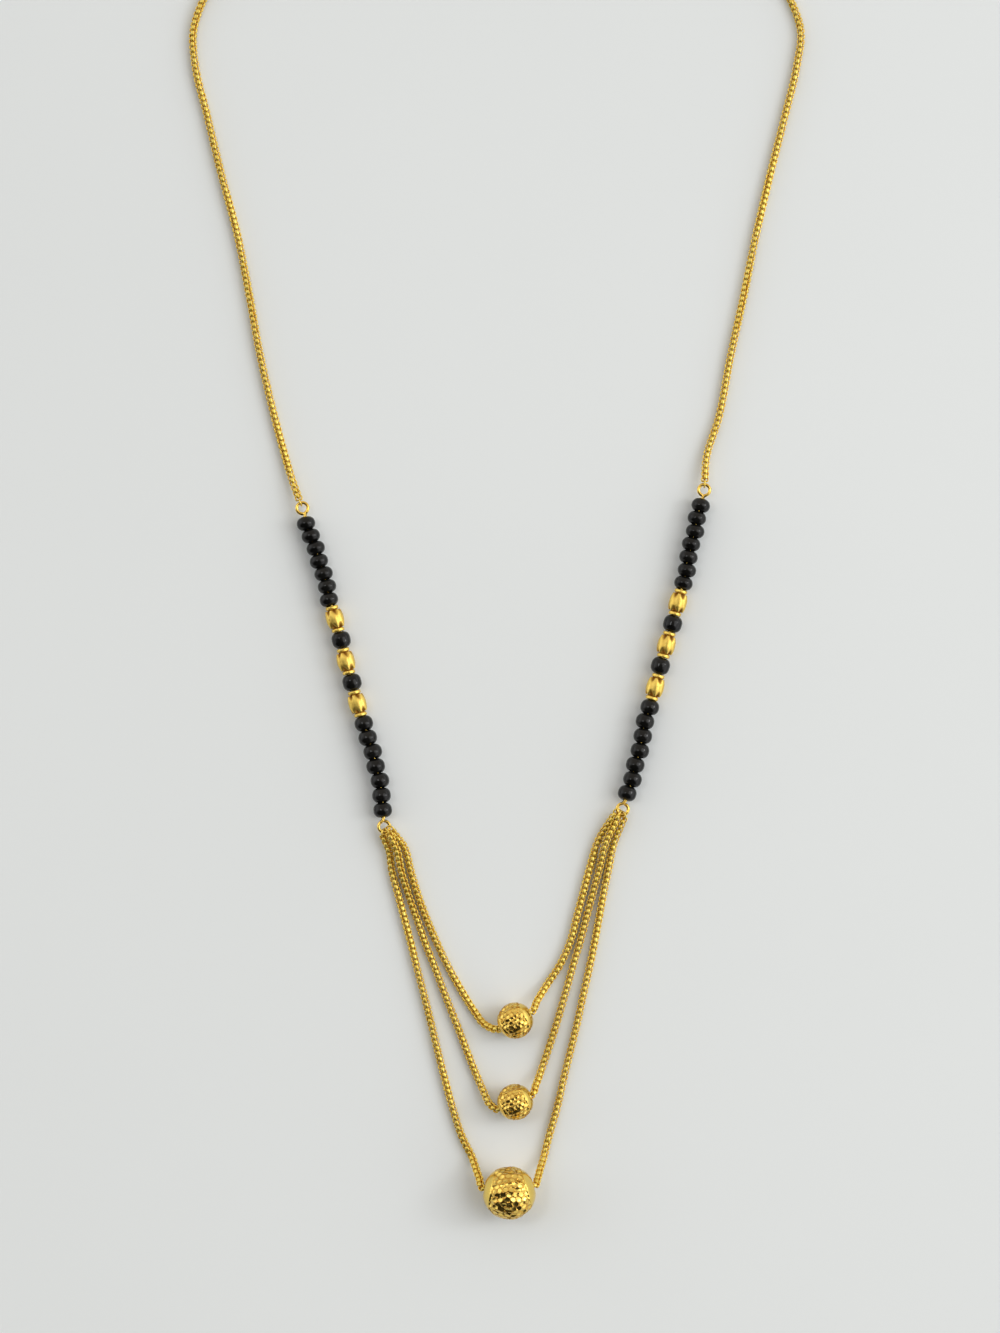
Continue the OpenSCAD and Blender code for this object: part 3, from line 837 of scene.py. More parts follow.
@dataclass
class GlassBeads:
    """The black beads of both sides, one piece each.

    Attributes:
        diameter: a bead's diameter.
        single_diameter: the diameter of the beads between the gold ones.
        hole: the radius of the hole.
        lip: the radius of the hole's rounded lip.
        rim: half of the length over which the side is rounded.
        flat: the least half length that the rounding leaves.
        closing: how much longer each bead is than its share of the wire.
        lean: how far the beads of a pressed row lean over, in degrees.
        wobble: the most that a bead lies askew besides, in degrees.
        spin: how many times that much a bead is turned about its hole.
        sides: steps round a bead.
        seed: for the small differences from bead to bead.
    """

    diameter: float = 2.98
    single_diameter: float = 3.0
    hole: float = 0.42
    lip: float = 0.05
    rim: float = 1.08
    flat: float = 0.02
    closing: float = 0.155
    lean: float = 11
    wobble: float = 2.5
    spin: float = 30
    sides: int = 48
    seed: int = 11

    def shape(self, diameter: float, length: float) -> Shape:
        """One bead along X.

        Args:
            diameter: the bead's diameter.
            length: its length.

        Returns:
            The shape.
        """
        half = length / 2
        rim = min(self.rim, half - self.flat)
        mouth = self.hole + self.lip
        quarter = circle(np.linspace(0, np.pi / 2, 13))
        side = quarter * [rim, diameter / 2 - mouth] + [half - rim, mouth]
        corner = quarter[:-1:3, ::-1] * [self.lip, -self.lip] + [half - self.lip, mouth]
        right = np.concatenate([corner, side])
        profile = np.concatenate([right, (right * [-1, 1])[::-1]])
        return turning(profile[:, 0], np.tile(profile[:, 1:], self.sides))

    def build(self, strings: Strings, material: Material) -> None:
        """Makes every black bead.

        Args:
            strings: each side's wire.
            material: the glass.
        """
        rng = np.random.default_rng(self.seed)
        for hand, string in strings.items():
            kinds = [kind for kind in string.order if kind is not BeadKind.GOLD]
            for i, kind in enumerate(kinds, 1):
                node = f"black_bead_{hand.word}_{i:02d}"
                single = kind is BeadKind.SINGLE
                yaw, pitch, spin = rng.uniform(-self.wobble, self.wobble, 3)
                if not single:
                    pitch = self.lean + pitch / 2
                middle = node_middle(node)
                turn = turned(string.turn_at(middle) + yaw, pitch, spin * self.spin)
                shape = self.shape(self.single_diameter if single else self.diameter,
                                   kind.value + self.closing)
                shape.placed(turn, middle).piece(f"glass_{node}", material, "black_glass", node)


@dataclass
class GoldBeads:
    """The gold beads: a lobed barrel between two collars.

    Attributes:
        barrel_r: the barrel's radius.
        neck_r: the barrel's radius at its collars.
        barrel_len: the barrel's length.
        belly: how square the barrel's outline is.
        collar_r: a collar's radius.
        collar_len: a collar's length.
        hole: the radius of the hole.
        lobes: the number of lobes round the barrel.
        twist: how far the lobes turn along the barrel, in degrees.
        groove: how deep the grooves between the lobes are.
        pocket: how much deeper they are at the collars.
        pocket_from: the share of half the barrel at which they start to deepen.
        wide: the power that sets how wide a groove is at the barrel's middle.
        wider: how much higher that power is at the barrel's ends.
        soft: the power that softens how a groove and a pocket start.
        lip: the radius of the hole's rounded lip.
        collar_round: the radius of a collar's rounded edges.
        seam: half of the open seam between a collar and the barrel.
        notch: how deep that seam is.
        film: how fast film and painted shade gather with the depth of a groove.
        askew: the most that a bead is turned from its groove straight up, in degrees.
        sides: steps round the bead.
        seed: for the small differences from bead to bead.
    """

    barrel_r: float = 1.45
    neck_r: float = 1.2
    barrel_len: float = 2.95
    belly: float = 2.6
    collar_r: float = 1.02
    collar_len: float = 0.66
    hole: float = 0.5
    lobes: int = 6
    twist: float = 26
    groove: float = 0.07
    pocket: float = 0.95
    pocket_from: float = 0.35
    wide: float = 0.7
    wider: float = 1.6
    soft: float = 1.3
    lip: float = 0.1
    collar_round: float = 0.2
    seam: float = 0.05
    notch: float = 0.4
    film: float = 4.5
    askew: float = 9
    sides: int = 96
    seed: int = 5

    def shape(self) -> Shape:
        """One gold bead along X.

        Returns:
            The shape.
        """
        half = self.barrel_len / 2
        end = half + self.collar_len
        r = self.collar_round
        quarter = circle(np.linspace(0, np.pi / 2, 6))
        mouth = quarter[:, ::-1] * [self.lip, -self.lip] + [end - self.lip, self.hole + self.lip]
        outer = quarter * r + [end - r, self.collar_r - r]
        inner = quarter[::-1] * [-r, r] + [half + r + self.seam, self.collar_r - r]
        foot = self.neck_r - self.notch
        seam = [[half + self.seam, foot], [half - self.seam, foot]]
        x = np.linspace(1, -1, 45)
        crown = self.neck_r + (self.barrel_r - self.neck_r) * (1 - np.abs(x) ** self.belly)
        barrel = np.stack([x * (half - self.seam), crown], axis=-1)
        ends = np.concatenate([mouth, outer, inner, seam])
        profile = np.concatenate([ends, barrel, (ends * [-1, 1])[::-1]])
        first = len(ends)
        on_barrel = np.zeros((len(profile), 1))
        on_barrel[first:first + len(barrel)] = 1
        in_seam = np.zeros((len(profile), 1))
        in_seam[[first - 2, first - 1, -first, 1 - first]] = 1
        reach = np.clip(np.abs(profile[:, :1]) / half, 0, 1)
        spun = round_steps(self.sides) + math.radians(self.twist) * profile[:, :1] / self.barrel_len
        across = np.abs(np.sin(spun * self.lobes / 2))
        valley = (1 - across ** (self.wide + self.wider * reach ** 3)) ** self.soft
        deeper = np.clip(reach - self.pocket_from, 0, 1) ** self.soft
        depth = on_barrel * (self.groove + self.pocket * deeper) * valley
        # Film and painted shade gather in the seams and deepen with the grooves
        return turning(profile[:, 0], profile[:, 1:] - depth,
                       np.clip(in_seam + depth * self.film, 0, 1))

    def build(self, strings: Strings, material: Material) -> None:
        """Makes every gold bead.

        Args:
            strings: each side's wire.
            material: the plating.
        """
        rng = np.random.default_rng(self.seed)
        groove_up = 90 + 180 / self.lobes
        for hand, string in strings.items():
            for i in range(1, 4):
                node = f"gold_bead_{hand.word}_{i}"
                middle = node_middle(node)
                roll = groove_up + rng.uniform(-self.askew, self.askew)
                bead = self.shape().placed(turned(string.turn_at(middle), 0, roll), middle)
                bead.piece(f"lobed_{node}", material, "bead_gold", node)


@dataclass(frozen=True)
class EndRing:
    """A ring of wire that hangs in an eye, to which a chain is soldered.

    Attributes:
        eye: the eye's middle.
        turn: the ring's heading, in degrees.
        near: from the eye's middle to the ring's near wire.
        far: from the eye's middle to its far wire.
        wire: the radius of its wire.
        height: how high its middle is.
        lie: how far it lies over from upright, in degrees.
    """

    eye: np.ndarray
    turn: float
    near: float
    far: float
    wire: float
    height: float
    lie: float = 0

    @property
    def radius(self) -> float:
        """The ring's radius at the middle of its wire."""
        return (self.far - self.near) / 2

    @property
    def middle(self) -> np.ndarray:
        """The ring's middle."""
        return lifted(self.eye, self.height) + toward(self.turn) * (self.near + self.far) / 2

    @property
    def lying(self) -> np.ndarray:
        """The matrix that lays the ring over and turns it to its heading."""
        return turned(self.turn, 0, self.lie)

    def start(self, share: float) -> np.ndarray:
        """The point at which the chain starts: share 0 is the ring's far side and 1 its top."""
        a = math.radians(90 * share)
        return self.middle + self.lying @ [math.cos(a), 0, math.sin(a)] * self.radius

    def shape(self) -> Shape:
        """The ring where it hangs."""
        return torus(self.radius, self.wire).placed(self.lying, self.middle)


@dataclass(frozen=True)
class Climb:
    """A point to which a chain climbs from the surface.

    Attributes:
        to: the point.
        height: how high the chain is there.
        clear: how far from there it is still as high.
        run: the further distance in which it comes down.
    """

    to: np.ndarray
    height: float
    clear: float
    run: float

    def lift(self, place: Place, low: float) -> float:
        """How far the chain is lifted at a place from the height at which it lies."""
        away = math.dist(place, self.to[:2])
        return (self.height - low) * (1 - ease((away - self.clear) / self.run))


@dataclass
class BoxChain:
    """Box chain: rings of flat strip, each a quarter turn from the last.

    Attributes:
        width: a link's outer width.
        length: a link's outer length.
        strip_t: the strip's thickness.
        strip_b: the strip's breadth.
        corner: the outer radius of a link's corners.
        chamfer: the bevel along the strip's edges.
        twist: how far the chain twists along the way, in degrees.
        waves: the shortest and the longest wave of that twist.
        loose: the spread of each link's own twist, in degrees.
        chain_r: half of the chain's width, and its height on the surface.
        end_wire: the radius of an end ring's wire.
        end_reach: from the middle of an eye to the far side of an end ring.
        middle_extra: how much further each way the middle tier's end ring reaches.
        clear: the clear space between an end ring and the eye's wire.
        fan: the angle between neighbouring tiers at an eye, in degrees.
        lie: how far an end ring lies over to its side of the fan, in degrees.
        lie_more: how much of that the middle end ring lies over.
    """

    width: float = 1.2
    length: float = 0.84
    strip_t: float = 0.2
    strip_b: float = 0.52
    corner: float = 0.22
    chamfer: float = 0.06
    twist: float = 24
    waves: Place = (18, 60)
    loose: float = 3.5
    chain_r: float = 0.625
    end_wire: float = 0.13
    end_reach: float = 1.6
    middle_extra: float = 0.1
    clear: float = 0.09
    fan: float = 38
    lie: float = 38
    lie_more: float = 0.4

    def link(self) -> Shape:
        """One link, with the chain along X and the link's ring in the plane of X and Y.

        Returns:
            The link.
        """
        t = self.strip_t / 2
        b = self.strip_b / 2
        c = self.chamfer
        section = [(b, c - t), (b, t - c), (b - c, t), (c - b, t),
                   (-b, t - c), (-b, c - t), (c - b, -t), (b - c, -t)]
        # Film and painted shade: each link's inner face gets all of the darker colour, its edges some,
        # its outer face none
        hidden = [0.6, 0.1, 0, 0, 0.1, 0.6, 1, 1]
        rings = []
        for quarter, (sx, sy) in enumerate([(1, 1), (-1, 1), (-1, -1), (1, -1)]):
            centre = np.array([sx * (self.length / 2 - self.corner),
                               sy * (self.width / 2 - self.corner)])
            for out in circle(np.radians([0, 45, 90]) + quarter * np.pi / 2):
                rings.append([(*(centre + out * (self.corner - t + o)), z) for z, o in section])
        return Shape.skin(np.array(rings), shade=np.tile(hidden, len(rings)))

    def along(self, line: Line, seed: int) -> Shape:
        """Links all the way along a line.

        Args:
            line: the chain's middle line.
            seed: for the small differences from link to link.

        Returns:
            The links as one shape.
        """
        rng = np.random.default_rng(seed)
        link = self.link()
        pitch = self.length - 2 * self.strip_t
        hooked = self.length / 2 - self.strip_t - self.end_wire
        count = int((line.length - 2 * hooked) / pitch)
        s = np.linspace(hooked, line.length - hooked, count)
        way = line.way(s, pitch / 2)
        side = unit(np.cross(UP, way))
        rise = np.cross(way, side)
        waves = rng.uniform(*self.waves, 3)
        phases = rng.uniform(0, 2 * np.pi, 3)
        drift = sum(np.sin(2 * np.pi * s / w + p) for w, p in zip(waves, phases)) / 3
        roll = np.radians(self.twist * drift + rng.normal(0, self.loose, count)
                          + 90 * (np.arange(count) % 2))[:, None]
        a = np.cos(roll) * side + np.sin(roll) * rise
        axes = np.stack([way, a, np.cross(way, a)], axis=1)
        points = line.at(s)[:, None] + link.points @ axes
        size = len(link.points)
        quads = link.quads + (np.arange(count) * size)[:, None, None]
        return Shape(points.reshape(-1, 3), quads.reshape(-1, 4), shade=np.tile(link.shade, count),
                     tone=np.repeat(rng.uniform(0, 1, count), size))

    def end_ring(self, string: BeadString, eye: np.ndarray, turn: float, extra: float = 0,
                 lie: float = 0) -> EndRing:
        """The end ring with which a chain hangs in an eye of a bead wire.

        Args:
            string: the wire.
            eye: the eye's middle.
            turn: the ring's heading, in degrees.
            extra: how much further each way it reaches than it has to.
            lie: how far it lies over from upright, in degrees.

        Returns:
            The ring.
        """
        near = string.eye_r - string.wire_r - self.clear - self.end_wire - extra
        return EndRing(eye, turn, near, self.end_reach + extra, self.end_wire, string.height, lie)

    def lying(self, route: Sequence[Place], *climbs: Climb) -> list[np.ndarray]:
        """The chain's middle points over a route, from which it climbs to points near by."""
        low = self.chain_r
        return [lifted(p, low + sum(climb.lift(p, low) for climb in climbs)) for p in route]

    def build(self, node: str, points: Sequence[np.ndarray], rings: Iterable[EndRing],
              material: Material, seed: int) -> None:
        """Makes a chain's piece with its end rings.

        Args:
            node: the node that it replaces.
            points: the points of its middle line, which lies on the surface at the lowest.
            rings: its end rings.
            material: the plating.
            seed: for its small differences.
        """
        line = Line.smooth(points)
        line.points[:, 2] = np.maximum(line.points[:, 2], self.chain_r)
        parts = [self.along(Line(line.points), seed), *(ring.shape() for ring in rings)]
        Shape.joined(parts).piece(f"linked_{node}", material, "chain_gold", node)


@dataclass
class CutBall:
    """A drilled gold ball with rows of hollow cuts from one smooth cap to the other.

    Attributes:
        node: the node that it replaces.
        radius: the ball's radius.
        hole_turn: the hole's heading and the rise of its right end, in degrees.
        hole_lift: how far the hole lies above the ball's middle as it hangs.
        cut: the width of one cut, across its row.
        cut_long: its length along the row.
        cut_depth: its depth.
        cut_askew: how far a cut lies from its place in the row, as a share of its width.
        cut_reach: how far a cut's bowl reaches, as a share of its width.
        row_lean: the slope at which the rows lean, to one side and the other by turns.
        row_close: how close the rows lie, as a share of the width of their cuts.
        cut_lean: the spread of each cut's own slope.
        cap: the angle of a cap about its end of the hole, in degrees.
        cap_edge: the angle over which the cuts start at a cap, in degrees.
        cut_base: the share of a cut's depth that holds all over it.
        cut_bowl: the least and the most that its bowl adds, as a share of its depth.
        ridge: how far from a cut's middle a ridge starts and over what it rises, in its widths.
        hidden: how much film and painted shade a cap gets, and what a cut and then a ridge between
            cuts add.
        mouth_hidden: how much film and painted shade the mouths get.
        hole_r: the hole's radius.
        mouth_r: the radius of the hole's rounded mouth.
        mouth_deep: how far in the mouth's rounding ends.
        spacing: the length of one step of the mesh.
        bowl_seed: for the differences between the cuts' bowls.
    """

    node: str
    radius: float
    hole_turn: tuple[float, float]
    hole_lift: float
    cut: float
    cut_long: float
    cut_depth: float
    cut_askew: float = 0.07
    cut_reach: float = 0.66
    row_lean: float = 0.17
    row_close: float = 0.94
    cut_lean: float = 0.16
    cap: float = 45
    cap_edge: float = 3
    cut_base: float = 0.4
    cut_bowl: Place = (0.5, 1.4)
    ridge: Place = (0.3, 0.25)
    hidden: tuple[float, float, float] = (0.25, 0.05, 0.65)
    mouth_hidden: float = 0.3
    hole_r: float = 1.0
    mouth_r: float = 1.3
    mouth_deep: float = 0.55
    spacing: float = 0.07
    bowl_seed: int = 3

    def __post_init__(self) -> None:
        """Works out half of the hole's length, and the rise of its ends seen from the middle."""
        self.reach = math.sqrt(self.radius ** 2 - self.hole_lift ** 2)
        self.tilt = math.asin(self.hole_lift / self.radius)

    def in_hole(self, share: float) -> np.ndarray:
        """The point at a share of the way from the hole's middle to its right end."""
        middle = node_middle(self.node) + self.hole_lift * toward(self.hole_turn[0] + 90)
        return middle + share * self.reach * toward(*self.hole_turn)

    def rings(self) -> np.ndarray:
        """Rings of points on a unit ball from the right mouth to the left one.

        Each ring lies in a plane through one line above the ball, so that the first and the last
        lie square to the way to a mouth that is above the ball's middle.

        Returns:
            The rings, each anticlockwise about -X.
        """
        tilt = self.tilt
        mouth = math.asin(self.mouth_r / self.radius)
        sides = round(2 * np.pi * self.radius / self.spacing)
        count = sides // 2
        low = mouth - tilt
        angles = -np.linspace(low, np.pi - low, count)
        offset = math.cos(mouth)
        lean = np.cos(angles) * math.cos(tilt) / (offset - np.sin(angles) * math.sin(tilt))
        normals = np.stack([np.full(count, math.cos(tilt)), math.sin(tilt) * lean], axis=-1)
        far = offset * lean / np.sum(normals ** 2, axis=1)
        centres = normals * far[:, None]
        radii = np.sqrt(1 - np.sum(centres ** 2, axis=1))[:, None]
        normals = unit(normals)
        turns = round_steps(sides)
        across = np.stack([-normals[:, 1], normals[:, 0]], axis=-1)
        flat = centres[:, None] + (radii * np.cos(turns))[..., None] * across[:, None]
        return np.concatenate([flat, (-radii * np.sin(turns))[..., None]], axis=-1)

    def cut_places(self) -> tuple[np.ndarray, np.ndarray]:
        """The cuts on a unit ball, in rows from one end of the hole to the other.

        Returns:
            The middle of each cut as a unit vector, and the slope at which it leans, a row each.
        """
        rng = np.random.default_rng(round(self.radius * 10))
        rows = 2 * round(np.pi * self.radius * self.row_close / self.cut)
        step = self.cut_long / self.radius
        count = int((np.pi / 2 - math.radians(self.cap)) / step) + 2
        middles = []
        leans = []
        for i in range(rows):
            turn = 2 * np.pi * i / rows
            out = np.array([0, math.cos(turn), math.sin(turn)])
            across = np.array([0, -math.sin(turn), math.cos(turn)])
            along = (np.arange(-count, count + 1) + (i % 2) / 2) * step
            middles.append(np.sin(along)[:, None] * [1, 0, 0] + np.cos(along)[:, None] * out)
            leans.append(np.tile(across * self.row_lean * (-1) ** i, (len(along), 1)))
        spread = self.cut_askew * self.cut / self.radius
        places = np.concatenate(middles)
        slopes = np.concatenate(leans)
        return (unit(places + rng.normal(0, spread, places.shape)),
                slopes + rng.normal(0, self.cut_lean, slopes.shape))

    def cut_in(self, d: np.ndarray) -> tuple[np.ndarray, np.ndarray]:
        """How deep the cuts are in given directions.

        Args:
            d: unit vectors.

        Returns:
            The depth for each, in millimetres, and how much film and painted shade its surface gets.
        """
        places, slopes = self.cut_places()
        squeeze = np.array([self.cut / self.cut_long, 1, 1])
        aims = places * squeeze
        own = np.argmax((d * squeeze) @ aims.T - np.sum(aims ** 2, axis=1) / 2, axis=1)
        offset = (d - places[own]) * self.radius
        away = np.linalg.norm(offset * squeeze, axis=1) / self.cut
        strength = np.random.default_rng(self.bowl_seed).uniform(*self.cut_bowl, len(places))
        bowl = np.clip(1 - (away / self.cut_reach) ** 2, 0, 1)
        depth = (self.cut_depth * (self.cut_base + strength[own] * bowl)
                 + np.sum(offset * slopes[own], axis=1) * ease(bowl * 3))
        ends = [np.array([side * math.cos(self.tilt), math.sin(self.tilt), 0]) for side in (-1, 1)]
        from_mouth = np.degrees(np.arccos(np.clip(np.max([d @ e for e in ends], axis=0), -1, 1)))
        banded = ease((from_mouth - self.cap) / self.cap_edge)
        ridge = ease((away - self.ridge[0]) / self.ridge[1])
        # Film and painted shade: a little on the caps, a little more in the cuts, most on the ridges
        # between them
        cap, cut, more = self.hidden
        return np.maximum(depth, 0) * banded, cap + banded * (cut + more * ridge)

    def build(self, material: Material) -> None:
        """Makes the ball.

        Args:
            material: the plating.
        """
        rings = self.rings()
        count, sides = rings.shape[:2]
        flat = rings.reshape(-1, 3)
        depth, hidden = self.cut_in(flat)
        skin = (flat * (self.radius - depth)[:, None]).reshape(rings.shape)
        angles = round_steps(sides)
        wall = np.stack([0 * angles, self.hole_lift + self.hole_r * np.cos(angles),
                         -self.hole_r * np.sin(angles)], axis=-1)
        left, right = (wall + [end * (self.reach - self.mouth_deep), 0, 0] for end in (-1, 1))
        # One ring between a mouth's edge and its foot rounds the mouth, with these shares of the edge
        edge = np.array([0.85, 0.55, 0.55])
        inside = [skin[-1] * edge + left * (1 - edge), left, wall,
                  right, skin[0] * edge + right * (1 - edge)]
        # Painted shade in the hole: some at the mouths, all of the darker colour on the walls
        dark = [self.mouth_hidden, 1, 1, 1, self.mouth_hidden]
        shade = np.concatenate([hidden, np.repeat(dark, sides)])
        shape = Shape.skin(np.concatenate([skin, inside]), shade=shade)
        ball = shape.placed(turned(*self.hole_turn), node_middle(self.node))
        ball.piece(f"cut_{self.node}", material, "ball_gold", self.node)


@dataclass
class Tier:
    """A tier of chain from the left eye through its ball to the right eye.

    Attributes:
        name: the tier's name as its node has it.
        route: its places on the surface, on each side of the ball.
        ball: its ball.
        fan: its place in the fan of tiers: 1 inside, 0 in the middle, -1 outside.
        share: how far round its end rings it starts, where 1 is the top.
        run: how far it runs from an eye before it lies down.
        ball_clear: the share of the ball's radius at which it is up at the hole.
        ball_run: how far it runs before that.
        hole_shares: where in the ball's hole its line has points.
    """

    name: str
    route: Route
    ball: CutBall
    fan: int
    share: float
    run: float
    ball_clear: float = 0.7
    ball_run: float = 5
    hole_shares: tuple[float, ...] = (-1, -0.7, 0, 0.7, 1)

    def rings(self, chain: BoxChain, strings: Strings) -> dict[Hand, EndRing]:
        """The tier's end rings.

        Args:
            chain: the chain that it is made of.
            strings: each side's wire.

        Returns:
            The ring on each side.
        """
        extra = chain.middle_extra if self.fan == 0 else 0
        rings = {}
        for hand, string in strings.items():
            eye = string.lower_eye
            first = MIDDLE_ROUTE[hand][0 if hand is Hand.LEFT else -1]
            turn = heading(np.array(first) - eye[:2]) - hand.value * self.fan * chain.fan
            lie = hand.value * (self.fan + chain.lie_more) * chain.lie
            rings[hand] = chain.end_ring(string, eye, turn, extra, lie)
        return rings

    def build(self, chain: BoxChain, strings: Strings, material: Material, seed: int) -> None:
        """Makes the tier with its end rings.

        Args:
            chain: the chain that it is made of.
            strings: each side's wire.
            material: the plating.
            seed: for the chain's small differences.
        """
        ball = self.ball
        rings = self.rings(chain, strings)
        sides = {}
        for hand, ring in rings.items():
            start = ring.start(self.share)
            mouth = ball.in_hole(hand.value)
            lying = chain.lying(self.route[hand],
                                Climb(ring.eye, start[2], chain.end_reach, self.run),
                                Climb(node_middle(ball.node), mouth[2],
                                      ball.radius * self.ball_clear, self.ball_run))
            sides[hand] = [start, *lying] if hand is Hand.LEFT else [*lying, start]
        through = [ball.in_hole(share) for share in self.hole_shares]
        points = [*sides[Hand.LEFT], *through, *sides[Hand.RIGHT]]
        chain.build(f"tier_chain_{self.name}", points, rings.values(), material, seed)


@dataclass
class BackOfNeck:
    """The back chains and the hook between them.

    Attributes:
        hook_wire_r: the radius of the hook's wire.
        hook_r: the radius of the hook's loops, at the middle of its wire.
        hook_tip: the angle at which a loop's tip lies, in degrees.
        hook_sweep: how far round a loop goes, in degrees.
        ring_d: the outer diameter of a back chain's ring at the hook.
        ring_wire_r: the radius of that ring's wire.
        clear: the clear space between the ring's wire and the hook's.
        run: how far a back chain runs from its ends before it lies down.
    """

    hook_wire_r: float = 0.45
    hook_r: float = 1.6
    hook_tip: float = -30
    hook_sweep: float = -285
    ring_d: float = 2.6
    ring_wire_r: float = 0.25
    clear: float = 0.11
    run: float = 6

    def __post_init__(self) -> None:
        """Works out where the hook and the rings in it lie."""
        self.reach = self.hook_r * math.sqrt(2)
        room = self.ring_d / 2 - 2 * self.ring_wire_r - self.hook_wire_r - self.clear
        self.slack = room / math.sqrt(2)
        self.ring_z = self.ring_d / 2
        self.near = self.hook_r + self.slack - self.ring_d / 2 + self.ring_wire_r
        self.far = self.near + self.ring_d - 2 * self.ring_wire_r

    def hook(self) -> Shape:
        """The S hook.

        Returns:
            The shape.
        """
        a = np.radians(self.hook_tip + self.hook_sweep * np.linspace(0, 1, 56))
        left = np.stack([-self.reach + self.hook_r * np.cos(a), self.hook_r * np.sin(a), 0 * a],
                        axis=-1)
        at = lifted(CLASP_AT, self.ring_z - self.slack)
        return bar(np.concatenate([left, -left[::-1]]) + at, self.hook_wire_r, 20)

    def build(self, chain: BoxChain, strings: Strings, gold: Material, wire_gold: Material) -> None:
        """Makes both back chains and the hook.

        Args:
            chain: the chain that they are made of.
            strings: each side's wire.
            gold: the chain's plating.
            wire_gold: the hook's plating.
        """
        for seed, (hand, string) in enumerate(strings.items()):
            route = BACK_ROUTES[hand]
            eye = string.upper_eye
            hook_eye = np.array([CLASP_AT[0] + hand.value * self.reach, CLASP_AT[1]])
            rings = [
                chain.end_ring(string, eye, heading(np.array(route[0]) - eye[:2])),
                EndRing(hook_eye, heading(np.array(route[-1]) - hook_eye), self.near, self.far,
                        self.ring_wire_r, self.ring_z),
            ]
            lying = chain.lying(route, Climb(eye, string.height, chain.end_reach, self.run),
                                Climb(hook_eye, self.ring_z, self.far, self.run))
            points = [rings[0].start(0), *lying, rings[1].start(0)]
            chain.build(f"back_chain_{hand.word}", points, rings, gold, seed)
        self.hook().piece("s_hook", wire_gold, "wire_gold", "clasp")


@dataclass(frozen=True)
class Lamp:
    """A soft round lamp that faces the necklace.

    Attributes:
        name: its name.
        azimuth: its angle from +X towards +Y, in degrees.
        elevation: its angle above the surface, in degrees.
        away: how far it is from the middle of the picture, in metres.
        size: its width and height, in metres.
        radiance: how bright its face is.
        colour: its colour.
    """

    name: str
    azimuth: float
    elevation: float
    away: float
    size: Place
    radiance: float
    colour: tuple[float, float, float] = (1.0, 1.0, 1.0)

    def build(self, centre: Place) -> None:
        """Makes the lamp.

        Args:
            centre: the place on the surface that it faces, in millimetres.
        """
        data = bpy.data.lights.new(self.name, "AREA")
        data.shape = "ELLIPSE"
        data.size, data.size_y = self.size
        data.energy = self.radiance * math.pi * math.pi / 4 * self.size[0] * self.size[1]
        data.color = self.colour
        lamp = linked(self.name, data)
        way = toward(self.azimuth, self.elevation)
        lamp.location = lifted(centre, 0) * MM + way * self.away
        lamp.rotation_mode = "QUATERNION"
        lamp.rotation_quaternion = Vector(way).to_track_quat("Z", "Y")


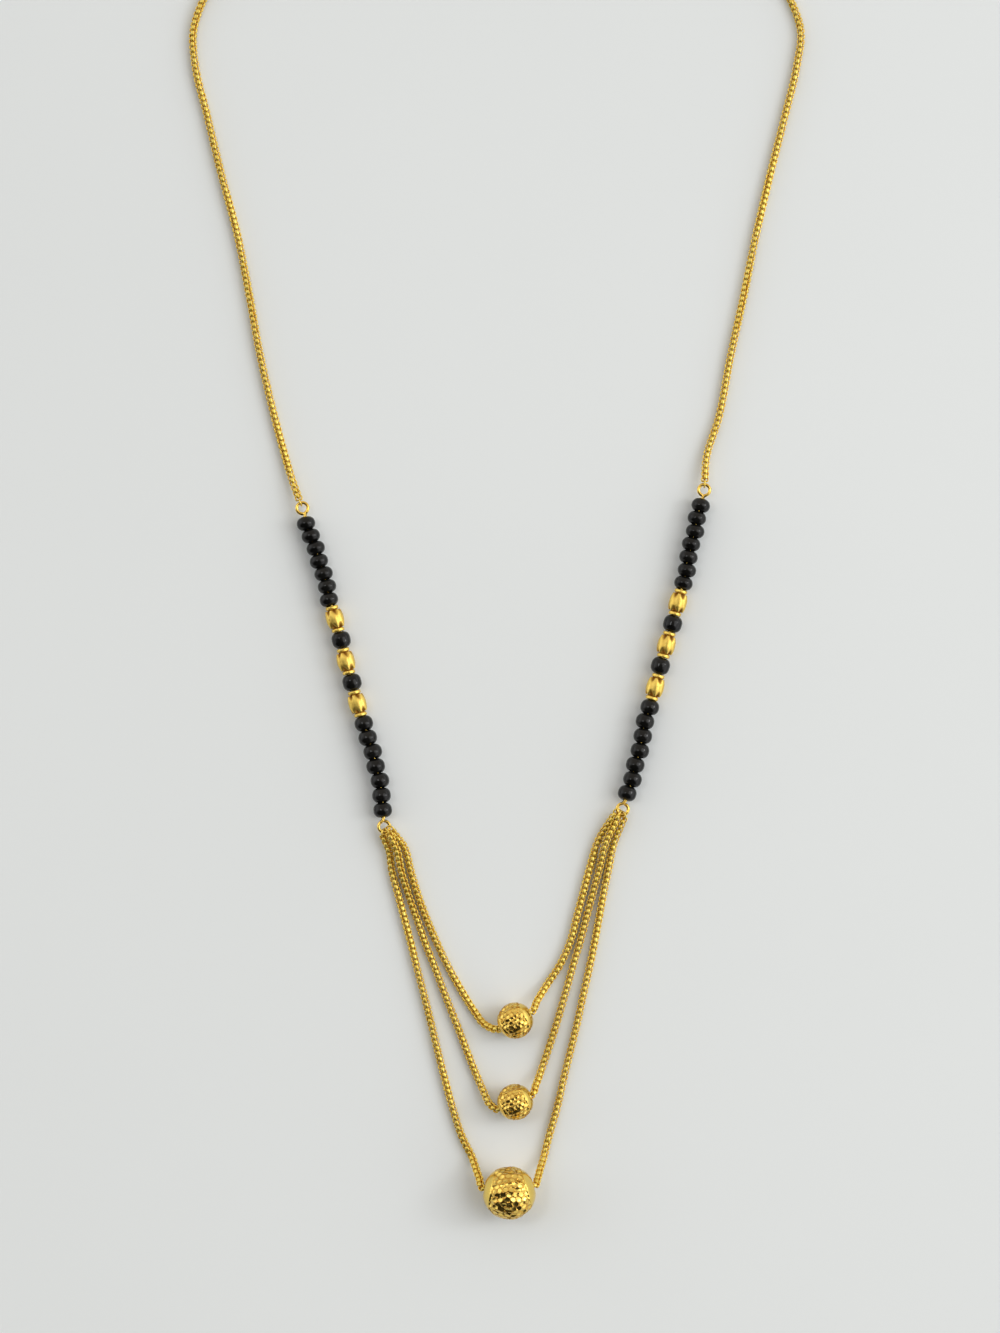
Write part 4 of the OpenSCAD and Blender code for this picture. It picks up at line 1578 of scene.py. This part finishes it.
@dataclass
class Studio:
    """The surface, the lights and the camera.

    Attributes:
        centre: the place on the surface at the middle of the photograph.
        view_height: the height of the photograph on the surface, in millimetres.
        distance: how high the camera is above the surface, in metres.
        sensor: the camera's sensor along the photograph's long side, in millimetres.
        floor_size: the width of the surface, in metres.
        wall: the light from the walls.
        far_wall: the light from the wall beyond the clasp.
        ceiling: the light from straight above.
        shadow_side: the light from the near side, where the photographer stands.
        lamps: the windows.
        above_mask: the ceiling's middle, and the cosines at which it starts and is full.
        far_mask: the same of the far wall.
        near_mask: the same of the near side.
    """

    centre: Place = (0.48, -21.4)
    view_height: float = 213.3
    distance: float = 1.0
    sensor: float = 36
    floor_size: float = 3
    wall: Colour = (1.56, 1.56, 1.56, 1)
    far_wall: Colour = (0.8, 0.73, 0.65, 1)
    ceiling: Colour = (0.16, 0.15, 0.14, 1)
    shadow_side: Colour = (0.03, 0.027, 0.024, 1)
    lamps: tuple[Lamp, ...] = (
        Lamp("right_window", 8, 55, 0.8, (0.54, 0.5), 1.62),
        Lamp("low_window", 6, 33, 0.8, (0.2, 0.18), 8.0),
        Lamp("left_window", 160, 66, 0.9, (0.22, 0.22), 5.0, (0.96, 0.98, 1.0)),
    )
    above_mask: ClassVar[Mask] = (UP, 0.7, 0.95)
    far_mask: ClassVar[Mask] = (toward(90, 40), 0.4, 0.9)
    near_mask: ClassVar[Mask] = (toward(-110, 36), 0.35, 0.8)

    def camera(self) -> None:
        """Makes the camera, straight above the necklace."""
        data = bpy.data.cameras.new("overhead")
        data.sensor_width = self.sensor
        data.lens = self.sensor * self.distance / (self.view_height * MM)
        camera = linked("overhead", data)
        camera.location = (self.centre[0] * MM, self.centre[1] * MM, self.distance)
        bpy.context.scene.camera = camera

    def floor(self) -> None:
        """Makes the plain pale surface."""
        half = self.floor_size / 2
        mesh = bpy.data.meshes.new("surface")
        corners = [(-half, -half, 0), (half, -half, 0), (half, half, 0), (-half, half, 0)]
        mesh.from_pydata(corners, [], [(0, 1, 2, 3)])
        mesh.materials.append(PaleSurface().material())
        surface = linked("surface", mesh)

    def facing(self, tree: NodeTree, way: np.ndarray, low: float, high: float) -> Socket:
        """A mask of the directions near one of them.

        Args:
            tree: the world's tree.
            way: the direction at the mask's middle.
            low: the cosine at which the mask starts.
            high: the cosine at which it is full.

        Returns:
            The mask's socket.
        """
        look = tree.add("ShaderNodeTexCoord").outputs["Generated"]
        near = tree.add("ShaderNodeVectorMath", operation="DOT_PRODUCT")
        soft = tree.add("ShaderNodeMapRange", interpolation_type="SMOOTHSTEP")
        for socket, value in ((near.inputs[0], look), (near.inputs[1], way),
                              (soft.inputs["Value"], near.outputs["Value"]),
                              (soft.inputs["From Min"], low), (soft.inputs["From Max"], high)):
            tree.feed(socket, value)
        return soft.outputs["Result"]

    def room(self) -> None:
        """Makes the room's light: walls, a darker wall beyond the clasp, a ceiling, a near side."""
        world = bpy.data.worlds.new("room")
        tree = NodeTree.of(world)
        above = self.facing(tree, *self.above_mask)
        far_side = self.facing(tree, *self.far_mask)
        near_side = self.facing(tree, *self.near_mask)
        walls = tree.mix(far_side, tree.mix(above, self.wall, self.ceiling), self.far_wall)
        back = tree.add("ShaderNodeBackground")
        tree.feed(back.inputs["Color"], tree.mix(near_side, walls, self.shadow_side))
        end = tree.add("ShaderNodeOutputWorld")
        tree.feed(end.inputs["Surface"], back.outputs[0])
        bpy.context.scene.world = world

    def build(self) -> None:
        """Makes the whole studio."""
        self.camera()
        self.floor()
        for lamp in self.lamps:
            lamp.build(self.centre)
        self.room()
        settings = bpy.context.scene.view_settings
        settings.view_transform = "Standard"
        settings.look = "None"


def main() -> None:
    """Builds the studio and then the necklace from the back of the neck to the lowest ball."""
    logging.basicConfig(level=logging.INFO, format="%(name)s: %(message)s", stream=sys.stdout)
    Studio().build()
    chain_gold = CHAIN_GOLD.material()
    ball_gold = BALL_GOLD.material()
    wire_gold = WIRE_GOLD.material()
    chain = BoxChain()
    strings = {hand: BeadString(hand) for hand in Hand}
    BackOfNeck().build(chain, strings, chain_gold, wire_gold)
    for string in strings.values():
        string.build(wire_gold)
    GlassBeads().build(strings, BlackGlass().material())
    GoldBeads().build(strings, BEAD_GOLD.material())
    small_cuts = (0.62, 0.7, 0.11)
    tiers = [
        Tier("top", TOP_ROUTE, CutBall("ball_top", 2.9, (28, 8), 0, *small_cuts), 1, -0.3, 5),
        Tier("middle", MIDDLE_ROUTE, CutBall("ball_middle", 2.9, (24, 6), 0, *small_cuts), 0, 0.6, 12),
        Tier("bottom", BOTTOM_ROUTE,
             CutBall("ball_bottom", 4.25, (3, 0), 1, 0.8, 1.02, 0.13, spacing=0.08),
             -1, -0.3, 5, ball_run=5.6),
    ]
    for seed, tier in enumerate(tiers, 10):
        tier.build(chain, strings, chain_gold, seed)
        tier.ball.build(ball_gold)


if __name__ == "__main__":
    main()
